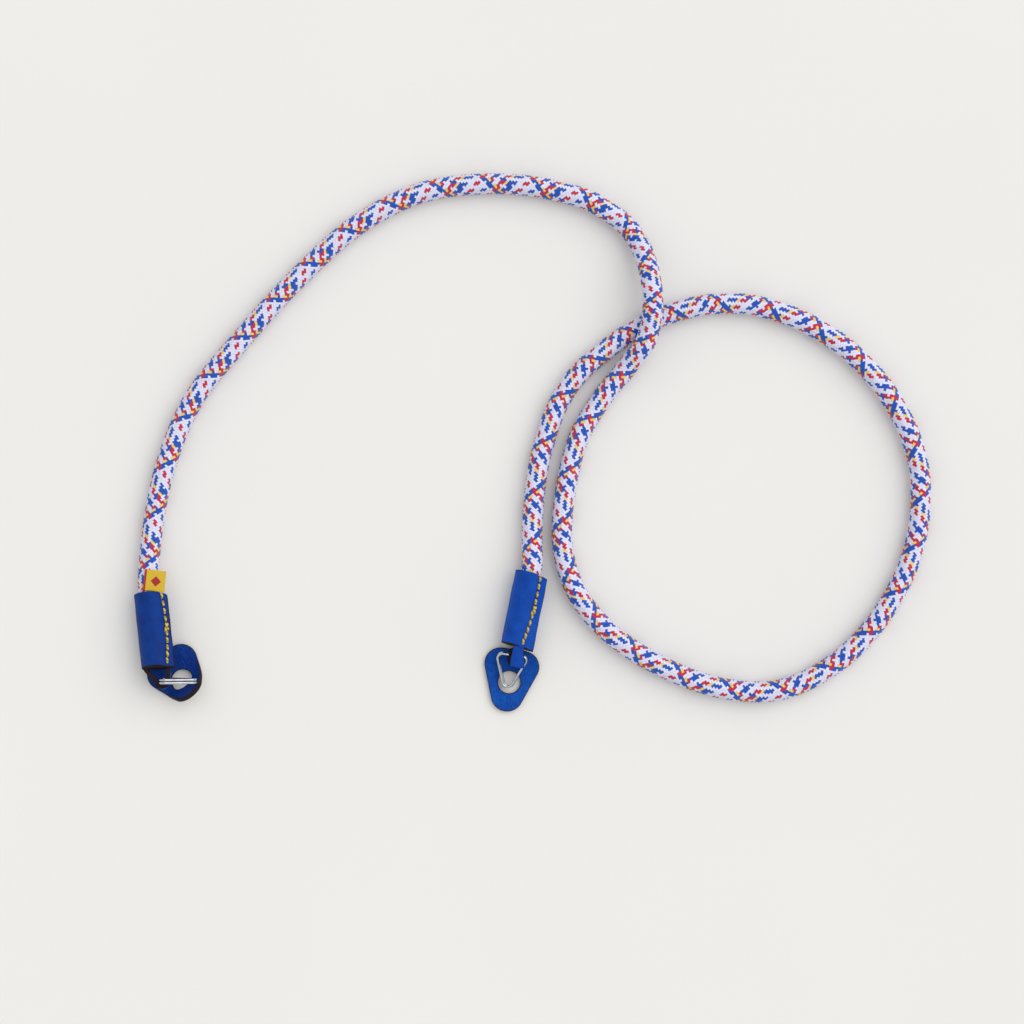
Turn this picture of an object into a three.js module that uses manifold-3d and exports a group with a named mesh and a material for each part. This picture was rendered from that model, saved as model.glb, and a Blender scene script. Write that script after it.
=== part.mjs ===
// A camera neck strap: a round braided rope whose two ends are sewn into leather
// sleeves. Each sleeve runs on as a leather loop that holds a triangular split ring,
// and a leather pad with a hole lies under each ring. The strap lies on a table.
// Millimetres, +Z up. The origin is on the table, at the middle of the two ends.

import * as THREE from 'three';
import { mergeVertices } from 'three/addons/utils/BufferGeometryUtils.js';
import Module from 'manifold-3d';

const wasm = await Module();
wasm.setup();

// Clearances between pieces
const SEAT_GAP = 0.3;
const ROPE_FIT = 0.45;
const COIL_GAP = 0.15;
const BAR_PLAY = 0.5;
const ROPE_END_GAP = 0.5;

// Rope
const ROPE_DIAMETER = 8.3;
const ROPE_SIDES = 12;
const ROPE_STEPS = 80;
const ROPE_LEAD = 4;
const ROPE_LENGTH_SAMPLES = 2000;

// Leather sleeve and the loop that it runs on into
const SLEEVE_LENGTH = 29;
const SLEEVE_WALL = 1.5;
const SEAM_STANDOUT = 0.7;
const LOOP_WIDTH = 4.6;
const LOOP_THICKNESS = 1.5;
const LOOP_SEWN_LENGTH = 4;
const LOOP_SINK = 0.2;
const LOOP_STEPS = 40;
const SLEEVE_SEGMENTS = 16;

// Split ring
const RING_WIRE = 1;
const RING_WIDTH = 12.2;
const RING_LENGTH = 14.2;
const RING_CORNER_RADIUS = 1.9;
const RING_TIP_RADIUS = 2;
const RING_TURNS = 1.92;
const COIL_START = 0.04;
const COIL_STEP = [0.94, 1.06];
const WIRE_SIDES = 8;
const WIRE_STEPS_PER_TURN = 44;

// Leather pad
const PAD_THICKNESS = 2;
const PAD_WIDTH = 21.7;
const PAD_CORNER_RADIUS = 6.2;
const PAD_TIP_RADIUS = 6.4;
const PAD_HOLE_DIAMETER = 8.8;
const PAD_HOLE_TO_TIP = 11.6;
const PAD_HOLE_TO_BACK = 13;
const PAD_BEND_RADIUS = 7;
const PAD_BEND_ANGLE = 60;
const PAD_HOLE_TO_BEND = 3;
const PAD_RIM_STEPS = 48;
const BENT_PAD_BANDS = 5;

// Folded side tag
const TAG_WIDTH = 8.4;
const TAG_LENGTH = 8.3;
const TAG_THICKNESS = 1;
const TAG_OFFSET = 2.4;
const TAG_ROLL = 15;
const TAG_FOLD_SEGMENTS = 4;

// Sizes that follow from the ones above
const ROPE_RADIUS = ROPE_DIAMETER / 2;
const SLEEVE_BORE = ROPE_RADIUS + ROPE_FIT;
const SLEEVE_RADIUS = SLEEVE_BORE + SLEEVE_WALL;
const ROPE_HIDDEN = SLEEVE_LENGTH - LOOP_SEWN_LENGTH - ROPE_END_GAP;
const COIL_PITCH = RING_WIRE + COIL_GAP;
const RING_HALF_DEPTH = (RING_WIRE + COIL_PITCH) / 2;
const LOOP_BORE = Math.hypot(RING_WIRE / 2, RING_HALF_DEPTH) + BAR_PLAY;
const LOOP_MID_RADIUS = LOOP_BORE + LOOP_THICKNESS / 2;
const PAD_TOP = PAD_THICKNESS + SEAT_GAP;
const BAR_HEIGHT = PAD_TOP + LOOP_THICKNESS + LOOP_BORE;

// Where the two ends lie: each sleeve's rope mouth, the heading towards its ring, and
// the pad's hole, ahead of the sleeve's ring end and to its seam side. The left ring
// stands on edge and the right one lies over its pad.
const LEFT_END = {
  mouth: [-74.7, 18.5],
  heading: -83.3,
  padAhead: 6.24,
  padSide: 8.55,
  padHeading: -51.7,
};
const RIGHT_END = {
  mouth: [74.7, 25.7],
  heading: -101.4,
  padAhead: 13.69,
  padSide: 0.24,
  padHeading: -99,
};

// Where each loop folds round its ring's bar, ahead of the sleeve and to its seam side.
// The right loop leaves the sleeve a little below its top and clear of the pad.
const LEFT_FOLD = { ahead: 5.4, side: 1.5 };
const RIGHT_FOLD = { ahead: 4, side: 1.1, topDrop: 0.4, underLift: 0.2 };

// How each ring lies, with its tip on the heading. Rise tips the ring's tip upwards.
const LEFT_RING = { heading: 0, rise: 10, barHeight: PAD_TOP + RING_WIDTH / 2 };
const RIGHT_RING = { heading: -98, rise: -14, barAhead: 2.6, barSide: -0.6 };

// The free rope, from the left sleeve to the right one. x and y lie on the table, and
// lift is how far the rope's middle is above where it lies, in rope diameters.
const ROPE_ROUTE = [
  { x: -73.1, y: 47.3, lift: 0.02 },
  { x: -68.0, y: 70.5, lift: 0.005 },
  { x: -57.5, y: 95.0, lift: 0 },
  { x: -39.0, y: 118.2, lift: 0 },
  { x: -17.1, y: 142.2, lift: 0 },
  { x: 6.5, y: 163.3, lift: 0 },
  { x: 31.3, y: 176.0, lift: 0 },
  { x: 56.5, y: 179.7, lift: 0 },
  { x: 80.6, y: 177.9, lift: 0.01 },
  { x: 102.2, y: 170.9, lift: 0.05 },
  { x: 116.4, y: 158.0, lift: 0.17 },
  { x: 122.6, y: 134.5, lift: 1.03 },
  { x: 120.2, y: 118.4, lift: 0.87 },
  { x: 113.3, y: 108.4, lift: 0.32 },
  { x: 102.6, y: 95.0, lift: 0.04 },
  { x: 92.8, y: 77.2, lift: 0.005 },
  { x: 87.3, y: 39.8, lift: 0 },
  { x: 93.0, y: 19.3, lift: 0 },
  { x: 106.2, y: 3.2, lift: 0 },
  { x: 127.5, y: -10.4, lift: 0 },
  { x: 151.1, y: -18.6, lift: 0 },
  { x: 173.6, y: -18.9, lift: 0 },
  { x: 196.0, y: -7.6, lift: 0 },
  { x: 214.1, y: 12.2, lift: 0 },
  { x: 226.2, y: 39.4, lift: 0 },
  { x: 226.9, y: 71.3, lift: 0 },
  { x: 213.0, y: 100.5, lift: 0 },
  { x: 188.9, y: 122.0, lift: 0 },
  { x: 159.0, y: 132.5, lift: 0 },
  { x: 130.6, y: 129.1, lift: 0 },
  { x: 107.0, y: 116.4, lift: 0 },
  { x: 89.3, y: 99.3, lift: 0 },
  { x: 79.3, y: 74.4, lift: 0.005 },
  { x: 75.8, y: 49.6, lift: 0.05 },
];

const degrees = THREE.MathUtils.degToRad;

// Materials
const rope = new THREE.MeshStandardMaterial({ color: 0xdedcf0, roughness: 0.85, metalness: 0 });
const leather = new THREE.MeshStandardMaterial({ color: 0x1b4aa6, roughness: 0.55, metalness: 0 });
const steel = new THREE.MeshStandardMaterial({ color: 0xcfd2d6, roughness: 0.2, metalness: 1 });
const tagCloth = new THREE.MeshStandardMaterial({ color: 0xd9b93a, roughness: 0.8, metalness: 0 });

const group = new THREE.Group();

// Adds one named piece to the strap, with its place already in its geometry.
function addPiece(name, geometry, material) {
  const mesh = new THREE.Mesh(geometry, material);
  mesh.name = name;
  group.add(mesh);
  return mesh;
}

// Turns a closed geometry into a solid that can be joined.
function solidOf(geometry) {
  const bare = geometry.clone();
  bare.deleteAttribute('normal');
  bare.deleteAttribute('uv');
  const merged = mergeVertices(bare, 1e-4);
  return new wasm.Manifold(new wasm.Mesh({
    numProp: 3,
    vertProperties: new Float32Array(merged.attributes.position.array),
    triVerts: new Uint32Array(merged.index.array),
  }));
}

// Turns a solid back into a geometry.
function geometryOf(solid) {
  const mesh = solid.getMesh();
  const geometry = new THREE.BufferGeometry();
  geometry.setAttribute('position', new THREE.BufferAttribute(mesh.vertProperties, 3));
  geometry.setIndex(new THREE.BufferAttribute(mesh.triVerts, 1));
  geometry.computeVertexNormals();
  return geometry;
}

// A frame with +X along the heading, +Y to its left and +Z up. Rise tips +X upwards.
function endFrame(x, y, z, heading, rise = 0) {
  const turn = new THREE.Matrix4().makeRotationZ(degrees(heading));
  const tip = new THREE.Matrix4().makeRotationY(-degrees(rise));
  return new THREE.Matrix4().makeTranslation(x, y, z).multiply(turn).multiply(tip);
}

// Shapes are drawn across and upwards, then extruded along +X.
const ALONG_X = new THREE.Matrix4().makeBasis(
  new THREE.Vector3(0, 1, 0),
  new THREE.Vector3(0, 0, 1),
  new THREE.Vector3(1, 0, 0),
);

// A flat band of the given thickness whose middle line is a list of plane points.
function bandShape(line, thickness) {
  const outer = [];
  const inner = [];
  line.forEach((point, i) => {
    const before = line[Math.max(i - 1, 0)];
    const after = line[Math.min(i + 1, line.length - 1)];
    const along = after.clone().sub(before).normalize();
    const across = new THREE.Vector2(-along.y, along.x).multiplyScalar(thickness / 2);
    outer.push(point.clone().add(across));
    inner.unshift(point.clone().sub(across));
  });
  return new THREE.Shape([...outer, ...inner]);
}

// The sleeve's section: round over the rope, with the sewn edges standing out on +Y.
function sleeveGeometry() {
  const edge = new THREE.Vector2(SLEEVE_RADIUS + SEAM_STANDOUT, SLEEVE_WALL);
  const tangent = Math.atan2(edge.y, edge.x) + Math.acos(SLEEVE_RADIUS / edge.length());
  const section = new THREE.Shape();
  section.moveTo(edge.x, edge.y);
  section.absarc(0, 0, SLEEVE_RADIUS, tangent, 2 * Math.PI - tangent, false);
  section.lineTo(edge.x, -edge.y);
  section.closePath();
  const bore = new THREE.Path();
  bore.absarc(0, 0, SLEEVE_BORE, 0, 2 * Math.PI, true);
  section.holes.push(bore);
  const tube = new THREE.ExtrudeGeometry(section, {
    depth: SLEEVE_LENGTH,
    bevelEnabled: false,
    curveSegments: SLEEVE_SEGMENTS,
  });
  return tube.applyMatrix4(ALONG_X);
}

// The loop's middle line, drawn ahead (x) and up (y): from inside the sleeve's wall
// out of its end, round the ring's bar and back into the opposite wall.
function loopLine(foldAhead, foldUp, upperMouth, lowerMouth) {
  const sewn = SLEEVE_BORE + LOOP_SINK;
  const start = SLEEVE_LENGTH - LOOP_SEWN_LENGTH;
  const knots = [new THREE.Vector2(start, sewn), new THREE.Vector2(SLEEVE_LENGTH, upperMouth)];
  for (const angle of [90, 45, 0, -45, -90]) {
    knots.push(new THREE.Vector2(
      SLEEVE_LENGTH + foldAhead + LOOP_MID_RADIUS * Math.cos(degrees(angle)),
      foldUp + LOOP_MID_RADIUS * Math.sin(degrees(angle)),
    ));
  }
  knots.push(new THREE.Vector2(SLEEVE_LENGTH, lowerMouth), new THREE.Vector2(start, -sewn));
  return new THREE.SplineCurve(knots).getPoints(LOOP_STEPS);
}

// The loop as a solid, LOOP_WIDTH across about a middle that may lie to one side.
function loopGeometry(line, side) {
  const band = new THREE.ExtrudeGeometry(bandShape(line, LOOP_THICKNESS), {
    depth: LOOP_WIDTH,
    bevelEnabled: false,
  });
  band.translate(0, 0, -LOOP_WIDTH / 2 + side);
  return band;
}

// Sleeve and loop are one piece of leather. An upright loop has its band lying flat
// over the bar, and the other has been turned a quarter round.
function makeSleeve(name, frame, line, upright, side) {
  const loop = loopGeometry(line, side);
  if (upright) {
    loop.rotateX(Math.PI / 2);
  }
  const joined = geometryOf(solidOf(sleeveGeometry()).add(solidOf(loop)));
  addPiece(name, joined.applyMatrix4(frame), leather);
}

// The split ring's outline: a triangle with its bar across the origin and its tip on
// +X, with round corners.
function ringOutline() {
  const halfBar = (RING_WIDTH - RING_WIRE) / 2;
  const reach = RING_LENGTH - RING_WIRE;
  const corner = RING_CORNER_RADIUS;
  const tip = RING_TIP_RADIUS;
  const cornerCentre = new THREE.Vector2(corner, halfBar - corner);
  const tipCentre = new THREE.Vector2(reach - tip, 0);
  const span = tipCentre.clone().sub(cornerCentre);
  const lean = Math.atan2(span.y, span.x) + Math.PI / 2 - Math.asin((tip - corner) / span.length());
  const outline = new THREE.Path();
  outline.moveTo(0, 0);
  outline.lineTo(0, -cornerCentre.y);
  outline.absarc(corner, -cornerCentre.y, corner, Math.PI, 2 * Math.PI - lean, false);
  outline.absarc(tipCentre.x, 0, tip, -lean, lean, false);
  outline.absarc(corner, cornerCentre.y, corner, lean, Math.PI, false);
  outline.lineTo(0, 0);
  return outline;
}

// The wire's middle line: nearly two turns round the outline, with a step from the
// first layer to the second where the first turn closes.
class RingCoil extends THREE.Curve {
  constructor() {
    super();
    this.outline = ringOutline();
  }

  getPoint(t, target = new THREE.Vector3()) {
    const turns = COIL_START + t * RING_TURNS;
    const flat = this.outline.getPointAt(turns % 1);
    const step = THREE.MathUtils.smoothstep(turns, ...COIL_STEP) - 0.5;
    return target.set(flat.x, flat.y, step * COIL_PITCH);
  }
}

function ringGeometry() {
  const wire = new THREE.Shape();
  wire.absarc(0, 0, RING_WIRE / 2, 0, 2 * Math.PI, false);
  return new THREE.ExtrudeGeometry(wire, {
    extrudePath: new RingCoil(),
    steps: Math.round(RING_TURNS * WIRE_STEPS_PER_TURN),
    curveSegments: WIRE_SIDES / 2,
    bevelEnabled: false,
  });
}

// The pad's outline about its hole: two corners and a tip, with the tip on +X.
function padOutline() {
  const corner = PAD_CORNER_RADIUS;
  const back = new THREE.Vector2(corner - PAD_HOLE_TO_BACK, PAD_WIDTH / 2 - corner);
  const front = new THREE.Vector2(PAD_HOLE_TO_TIP - PAD_TIP_RADIUS, 0);
  const span = front.clone().sub(back);
  const swing = Math.asin((PAD_TIP_RADIUS - corner) / span.length());
  const lean = Math.atan2(span.y, span.x) + Math.PI / 2 - swing;
  const outline = new THREE.Shape();
  outline.absarc(front.x, 0, PAD_TIP_RADIUS, -lean, lean, false);
  outline.absarc(back.x, back.y, corner, lean, Math.PI, false);
  outline.absarc(back.x, -back.y, corner, Math.PI, 2 * Math.PI - lean, false);
  return outline.getSpacedPoints(PAD_RIM_STEPS).slice(0, PAD_RIM_STEPS);
}

// Where a point of the flat pad goes when the pad is bent up beyond its bend line.
// Along is measured from the hole towards the tip, and up from the underside.
function bendPad(along, up) {
  const past = along + PAD_HOLE_TO_BEND;
  const full = degrees(PAD_BEND_ANGLE);
  const angle = THREE.MathUtils.clamp(past / PAD_BEND_RADIUS, 0, full);
  const straight = past - angle * PAD_BEND_RADIUS;
  const rise = up - PAD_THICKNESS / 2;
  return {
    along: straight * Math.cos(angle) + (PAD_BEND_RADIUS - rise) * Math.sin(angle),
    up: PAD_THICKNESS / 2 + PAD_BEND_RADIUS * (1 - Math.cos(angle))
      + straight * Math.sin(angle) + rise * Math.cos(angle),
  };
}

// Where the middle of the hole ends up along the bent pad.
const BENT_HOLE_ALONG = bendPad(0, PAD_THICKNESS / 2).along;

// A pad with its hole at the origin. A bent one has extra rings of faces to follow
// the bend, and a flat one has plain flat faces.
function padGeometry(bent) {
  const rim = padOutline();
  const bands = bent ? BENT_PAD_BANDS : 1;
  const positions = [];
  for (const up of [0, PAD_THICKNESS]) {
    for (let band = 0; band <= bands; band += 1) {
      for (const edge of rim) {
        const hole = edge.clone().setLength(PAD_HOLE_DIAMETER / 2);
        const flat = hole.lerp(edge, band / bands);
        const bentPoint = bendPad(flat.x, up);
        const along = bent ? bentPoint.along - BENT_HOLE_ALONG : flat.x;
        positions.push(along, flat.y, bent ? bentPoint.up : up);
      }
    }
  }
  const count = rim.length;
  const sheet = count * (bands + 1);
  const faces = [];
  const quad = (a, b, c, d) => faces.push(a, b, c, a, c, d);
  for (let i = 0; i < count; i += 1) {
    const next = (i + 1) % count;
    for (let band = 0; band < bands; band += 1) {
      const near = band * count;
      const far = near + count;
      quad(sheet + near + i, sheet + far + i, sheet + far + next, sheet + near + next);
      quad(near + next, far + next, far + i, near + i);
    }
    const last = bands * count;
    quad(last + i, last + next, sheet + last + next, sheet + last + i);
    quad(next, i, sheet + i, sheet + next);
  }
  const geometry = new THREE.BufferGeometry();
  geometry.setAttribute('position', new THREE.Float32BufferAttribute(positions, 3));
  geometry.setIndex(faces);
  geometry.computeVertexNormals();
  return geometry;
}

// The tag: a folded strip with a round fold, lying against the rope just outside the
// sleeve's mouth, rolled round the rope towards the seam.
function tagGeometry() {
  const half = TAG_THICKNESS / 2;
  const side = new THREE.Shape();
  side.moveTo(-SEAT_GAP, -half);
  side.lineTo(-SEAT_GAP, half);
  side.lineTo(half - SEAT_GAP - TAG_LENGTH, half);
  side.absarc(half - SEAT_GAP - TAG_LENGTH, 0, half, Math.PI / 2, 1.5 * Math.PI, false);
  side.closePath();
  const strip = new THREE.ExtrudeGeometry(side, {
    depth: TAG_WIDTH,
    bevelEnabled: false,
    curveSegments: TAG_FOLD_SEGMENTS,
  });
  strip.rotateX(Math.PI / 2);
  const roll = degrees(TAG_ROLL);
  const slide = TAG_OFFSET / Math.cos(roll) - ROPE_RADIUS * Math.sin(roll);
  strip.translate(0, TAG_WIDTH / 2 + slide, ROPE_RADIUS + SEAT_GAP + half);
  return strip.rotateX(-roll);
}

// The rope: along each sleeve's bore, and by the route between the two mouths.
function ropeGeometry(leftFrame, rightFrame) {
  const inSleeve = (frame, ahead) => new THREE.Vector3(ahead, 0, 0).applyMatrix4(frame);
  const stations = [ROPE_HIDDEN, 0, -ROPE_LEAD];
  const free = ROPE_ROUTE.map(
    ({ x, y, lift }) => new THREE.Vector3(x, y, ROPE_RADIUS + lift * ROPE_DIAMETER),
  );
  const path = new THREE.CatmullRomCurve3([
    ...stations.map((ahead) => inSleeve(leftFrame, ahead)),
    ...free,
    ...stations.reverse().map((ahead) => inSleeve(rightFrame, ahead)),
  ], false, 'centripetal');
  path.arcLengthDivisions = ROPE_LENGTH_SAMPLES;
  const section = new THREE.Shape();
  section.absarc(0, 0, ROPE_RADIUS, 0, 2 * Math.PI, false);
  return new THREE.ExtrudeGeometry(section, {
    extrudePath: path,
    steps: ROPE_STEPS,
    curveSegments: ROPE_SIDES / 2,
    bevelEnabled: false,
  });
}

// Left end. The sleeve's ring end rests on the back of the pad, so it rises a little,
// and the ring stands on edge with its bar upright in the loop.
const leftRise = THREE.MathUtils.radToDeg(Math.asin((PAD_TOP + SEAT_GAP) / SLEEVE_LENGTH));
const leftFrame = endFrame(
  ...LEFT_END.mouth,
  SLEEVE_RADIUS * Math.cos(degrees(leftRise)),
  LEFT_END.heading,
  leftRise,
);
const leftLine = loopLine(LEFT_FOLD.ahead, LEFT_FOLD.side, SLEEVE_BORE, -SLEEVE_BORE);
makeSleeve('left_sleeve', leftFrame, leftLine, false, 0);

// Right end. The sleeve lies flat, and the loop comes down over the bar of a ring
// that leans over the hole's rim with its tip in the hole.
const rightFrame = endFrame(...RIGHT_END.mouth, SLEEVE_RADIUS, RIGHT_END.heading);
const rightLine = loopLine(
  RIGHT_FOLD.ahead,
  BAR_HEIGHT - SLEEVE_RADIUS,
  SLEEVE_BORE - RIGHT_FOLD.topDrop,
  PAD_TOP + LOOP_THICKNESS / 2 - SLEEVE_RADIUS + RIGHT_FOLD.underLift,
);
makeSleeve('right_sleeve', rightFrame, rightLine, true, RIGHT_FOLD.side);

addPiece('braided_rope', ropeGeometry(leftFrame, rightFrame), rope);
addPiece('side_tag', tagGeometry().applyMatrix4(leftFrame), tagCloth);

// Pads, each placed from its sleeve's ring end
function makePad(name, end, bent) {
  const hole = new THREE.Vector3(SLEEVE_LENGTH + end.padAhead, end.padSide, 0)
    .applyMatrix4(endFrame(...end.mouth, 0, end.heading));
  addPiece(name, padGeometry(bent).applyMatrix4(endFrame(hole.x, hole.y, 0, end.padHeading)), leather);
}
makePad('left_lug_pad', LEFT_END, true);
makePad('right_lug_pad', RIGHT_END, false);

// Rings
const leftBar = new THREE.Vector3(SLEEVE_LENGTH + LEFT_FOLD.ahead, LEFT_FOLD.side, 0)
  .applyMatrix4(leftFrame);
addPiece(
  'left_split_ring',
  ringGeometry()
    .rotateX(Math.PI / 2)
    .applyMatrix4(endFrame(leftBar.x, leftBar.y, LEFT_RING.barHeight, LEFT_RING.heading, LEFT_RING.rise)),
  steel,
);
const rightBar = new THREE.Vector3(SLEEVE_LENGTH + RIGHT_RING.barAhead, RIGHT_RING.barSide, 0)
  .applyMatrix4(rightFrame);
addPiece(
  'right_split_ring',
  ringGeometry()
    .applyMatrix4(endFrame(rightBar.x, rightBar.y, BAR_HEIGHT, RIGHT_RING.heading, RIGHT_RING.rise)),
  steel,
);

export default group;
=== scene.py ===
"""A camera neck strap lying on a table, seen from straight above.

The strap is one round braided rope with a leather sleeve sewn round each end. Each
sleeve runs on as a leather loop that holds a split ring over a leather lug pad. The
strap's sizes are in millimetres and become metres when a mesh is placed. The camera,
the table and the light are in metres.
"""

import logging
import math
from dataclasses import dataclass, field
from enum import Enum

import bpy
import numpy as np
from mathutils import Matrix, Vector, noise


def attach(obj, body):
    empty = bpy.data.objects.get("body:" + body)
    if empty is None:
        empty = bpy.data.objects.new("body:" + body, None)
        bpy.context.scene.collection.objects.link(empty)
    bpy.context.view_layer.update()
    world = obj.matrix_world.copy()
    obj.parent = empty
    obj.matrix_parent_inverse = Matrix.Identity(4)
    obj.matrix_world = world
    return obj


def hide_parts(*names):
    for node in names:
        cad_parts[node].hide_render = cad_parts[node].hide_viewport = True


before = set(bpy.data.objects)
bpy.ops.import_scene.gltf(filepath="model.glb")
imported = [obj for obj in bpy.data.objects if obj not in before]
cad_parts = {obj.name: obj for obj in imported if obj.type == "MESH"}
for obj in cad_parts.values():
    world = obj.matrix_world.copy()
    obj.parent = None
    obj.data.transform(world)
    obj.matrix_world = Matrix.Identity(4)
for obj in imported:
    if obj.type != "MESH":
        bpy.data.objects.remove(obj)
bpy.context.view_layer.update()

MM = 0.001
log = logging.getLogger("neck_strap")

Triple = tuple[float, float, float]
Socket = bpy.types.NodeSocket


def linear(red: int, green: int, blue: int) -> tuple[float, float, float, float]:
    """Turn a screen colour into a linear one.

    Args:
        red: Red from 0 to 255.
        green: Green from 0 to 255.
        blue: Blue from 0 to 255.

    Returns:
        The colour with an alpha of 1.
    """
    parts = []
    for value in (red, green, blue):
        share = value / 255
        parts.append(share / 12.92 if share <= 0.04045 else ((share + 0.055) / 1.055) ** 2.4)
    return (parts[0], parts[1], parts[2], 1.0)


def end_frame(x: float, y: float, z: float, heading: float, rise: float = 0.0) -> Matrix:
    """Make a frame with +X along a heading, +Y to its left and +Z up.

    Args:
        x: Place along the table's X, in millimetres.
        y: Place along the table's Y, in millimetres.
        z: Height above the table, in millimetres.
        heading: Turn about the upright, in degrees.
        rise: How far +X tips upwards, in degrees.

    Returns:
        The frame in millimetres.
    """
    turn = Matrix.Rotation(math.radians(heading), 4, "Z")
    tip = Matrix.Rotation(-math.radians(rise), 4, "Y")
    return Matrix.Translation((x, y, z)) @ turn @ tip


class Side(Enum):
    """The two ends of the strap."""

    LEFT = "left"
    RIGHT = "right"


# Sizes that more than one sub-assembly uses
CARRIERS = 16
ROPE_RADIUS = 4.15
SLEEVE_BORE = 4.6
SLEEVE_WALL = 1.5
SLEEVE_RADIUS = SLEEVE_BORE + SLEEVE_WALL
SLEEVE_LENGTH = 29.0
SEAT_GAP = 0.3
PAD_THICKNESS = 2.0
PAD_TOP = PAD_THICKNESS + SEAT_GAP
RING_WIRE = 1.0
RING_WIDTH = 12.2
LOOP_THICKNESS = 1.5
COIL_PITCH = 1.15
LOOP_BORE = math.hypot(RING_WIRE / 2, (RING_WIRE + COIL_PITCH) / 2) + 0.5
BAR_HEIGHT = PAD_TOP + LOOP_THICKNESS + LOOP_BORE

# Each sleeve mouth's X and Y in millimetres, with the sleeve's heading in degrees
MOUTHS = {Side.LEFT: (-74.7, 18.5, -83.3), Side.RIGHT: (74.7, 25.7, -101.4)}

# How far each sleeve's ring end is lifted, in degrees
RISES = {Side.LEFT: math.degrees(math.asin((PAD_TOP + SEAT_GAP) / SLEEVE_LENGTH)), Side.RIGHT: 0.0}
SLEEVE_FRAMES = {
    side: end_frame(x, y, SLEEVE_RADIUS * math.cos(math.radians(RISES[side])), heading, RISES[side])
    for side, (x, y, heading) in MOUTHS.items()
}

# Millimetres from a sleeve's ring end to its pad's hole, ahead and to the left
PAD_HOLES = {Side.LEFT: (6.24, 8.55), Side.RIGHT: (13.69, 0.24)}


def pad_hole(side: Side) -> Vector:
    """Find the middle of a lug pad's hole on the table.

    Args:
        side: The end of the strap.

    Returns:
        The place in millimetres.
    """
    x, y, heading = MOUTHS[side]
    ahead, aside = PAD_HOLES[side]
    return end_frame(x, y, 0, heading) @ Vector((SLEEVE_LENGTH + ahead, aside, 0))


def arc_lengths(points: np.ndarray) -> np.ndarray:
    """Measure how far along a line each of its points lies."""
    return np.concatenate([[0], np.cumsum(np.linalg.norm(np.diff(points, axis=0), axis=1))])


def arc_points(middle: tuple[float, float], radius: float, begin: float, stop: float, count: int) -> list:
    """Sample an arc of a circle.

    Args:
        middle: The circle's middle.
        radius: Its radius.
        begin: Angle of the first point, in radians.
        stop: Angle of the last point, in radians.
        count: How many points.

    Returns:
        The points.
    """
    return [
        (middle[0] + radius * math.cos(angle), middle[1] + radius * math.sin(angle))
        for angle in np.linspace(begin, stop, count)
    ]


def side_lean(back: np.ndarray, front: np.ndarray, corner: float, tip: float) -> float:
    """Find where the straight side of a rounded triangle meets its round ends.

    Args:
        back: Middle of the back corner's circle.
        front: Middle of the tip's circle.
        corner: Radius of the back corner.
        tip: Radius of the tip.

    Returns:
        The angle round both circles, in radians.
    """
    span = front - back
    lean = math.atan2(span[1], span[0]) + math.pi / 2
    return lean - math.asin((tip - corner) / np.linalg.norm(span))


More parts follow.
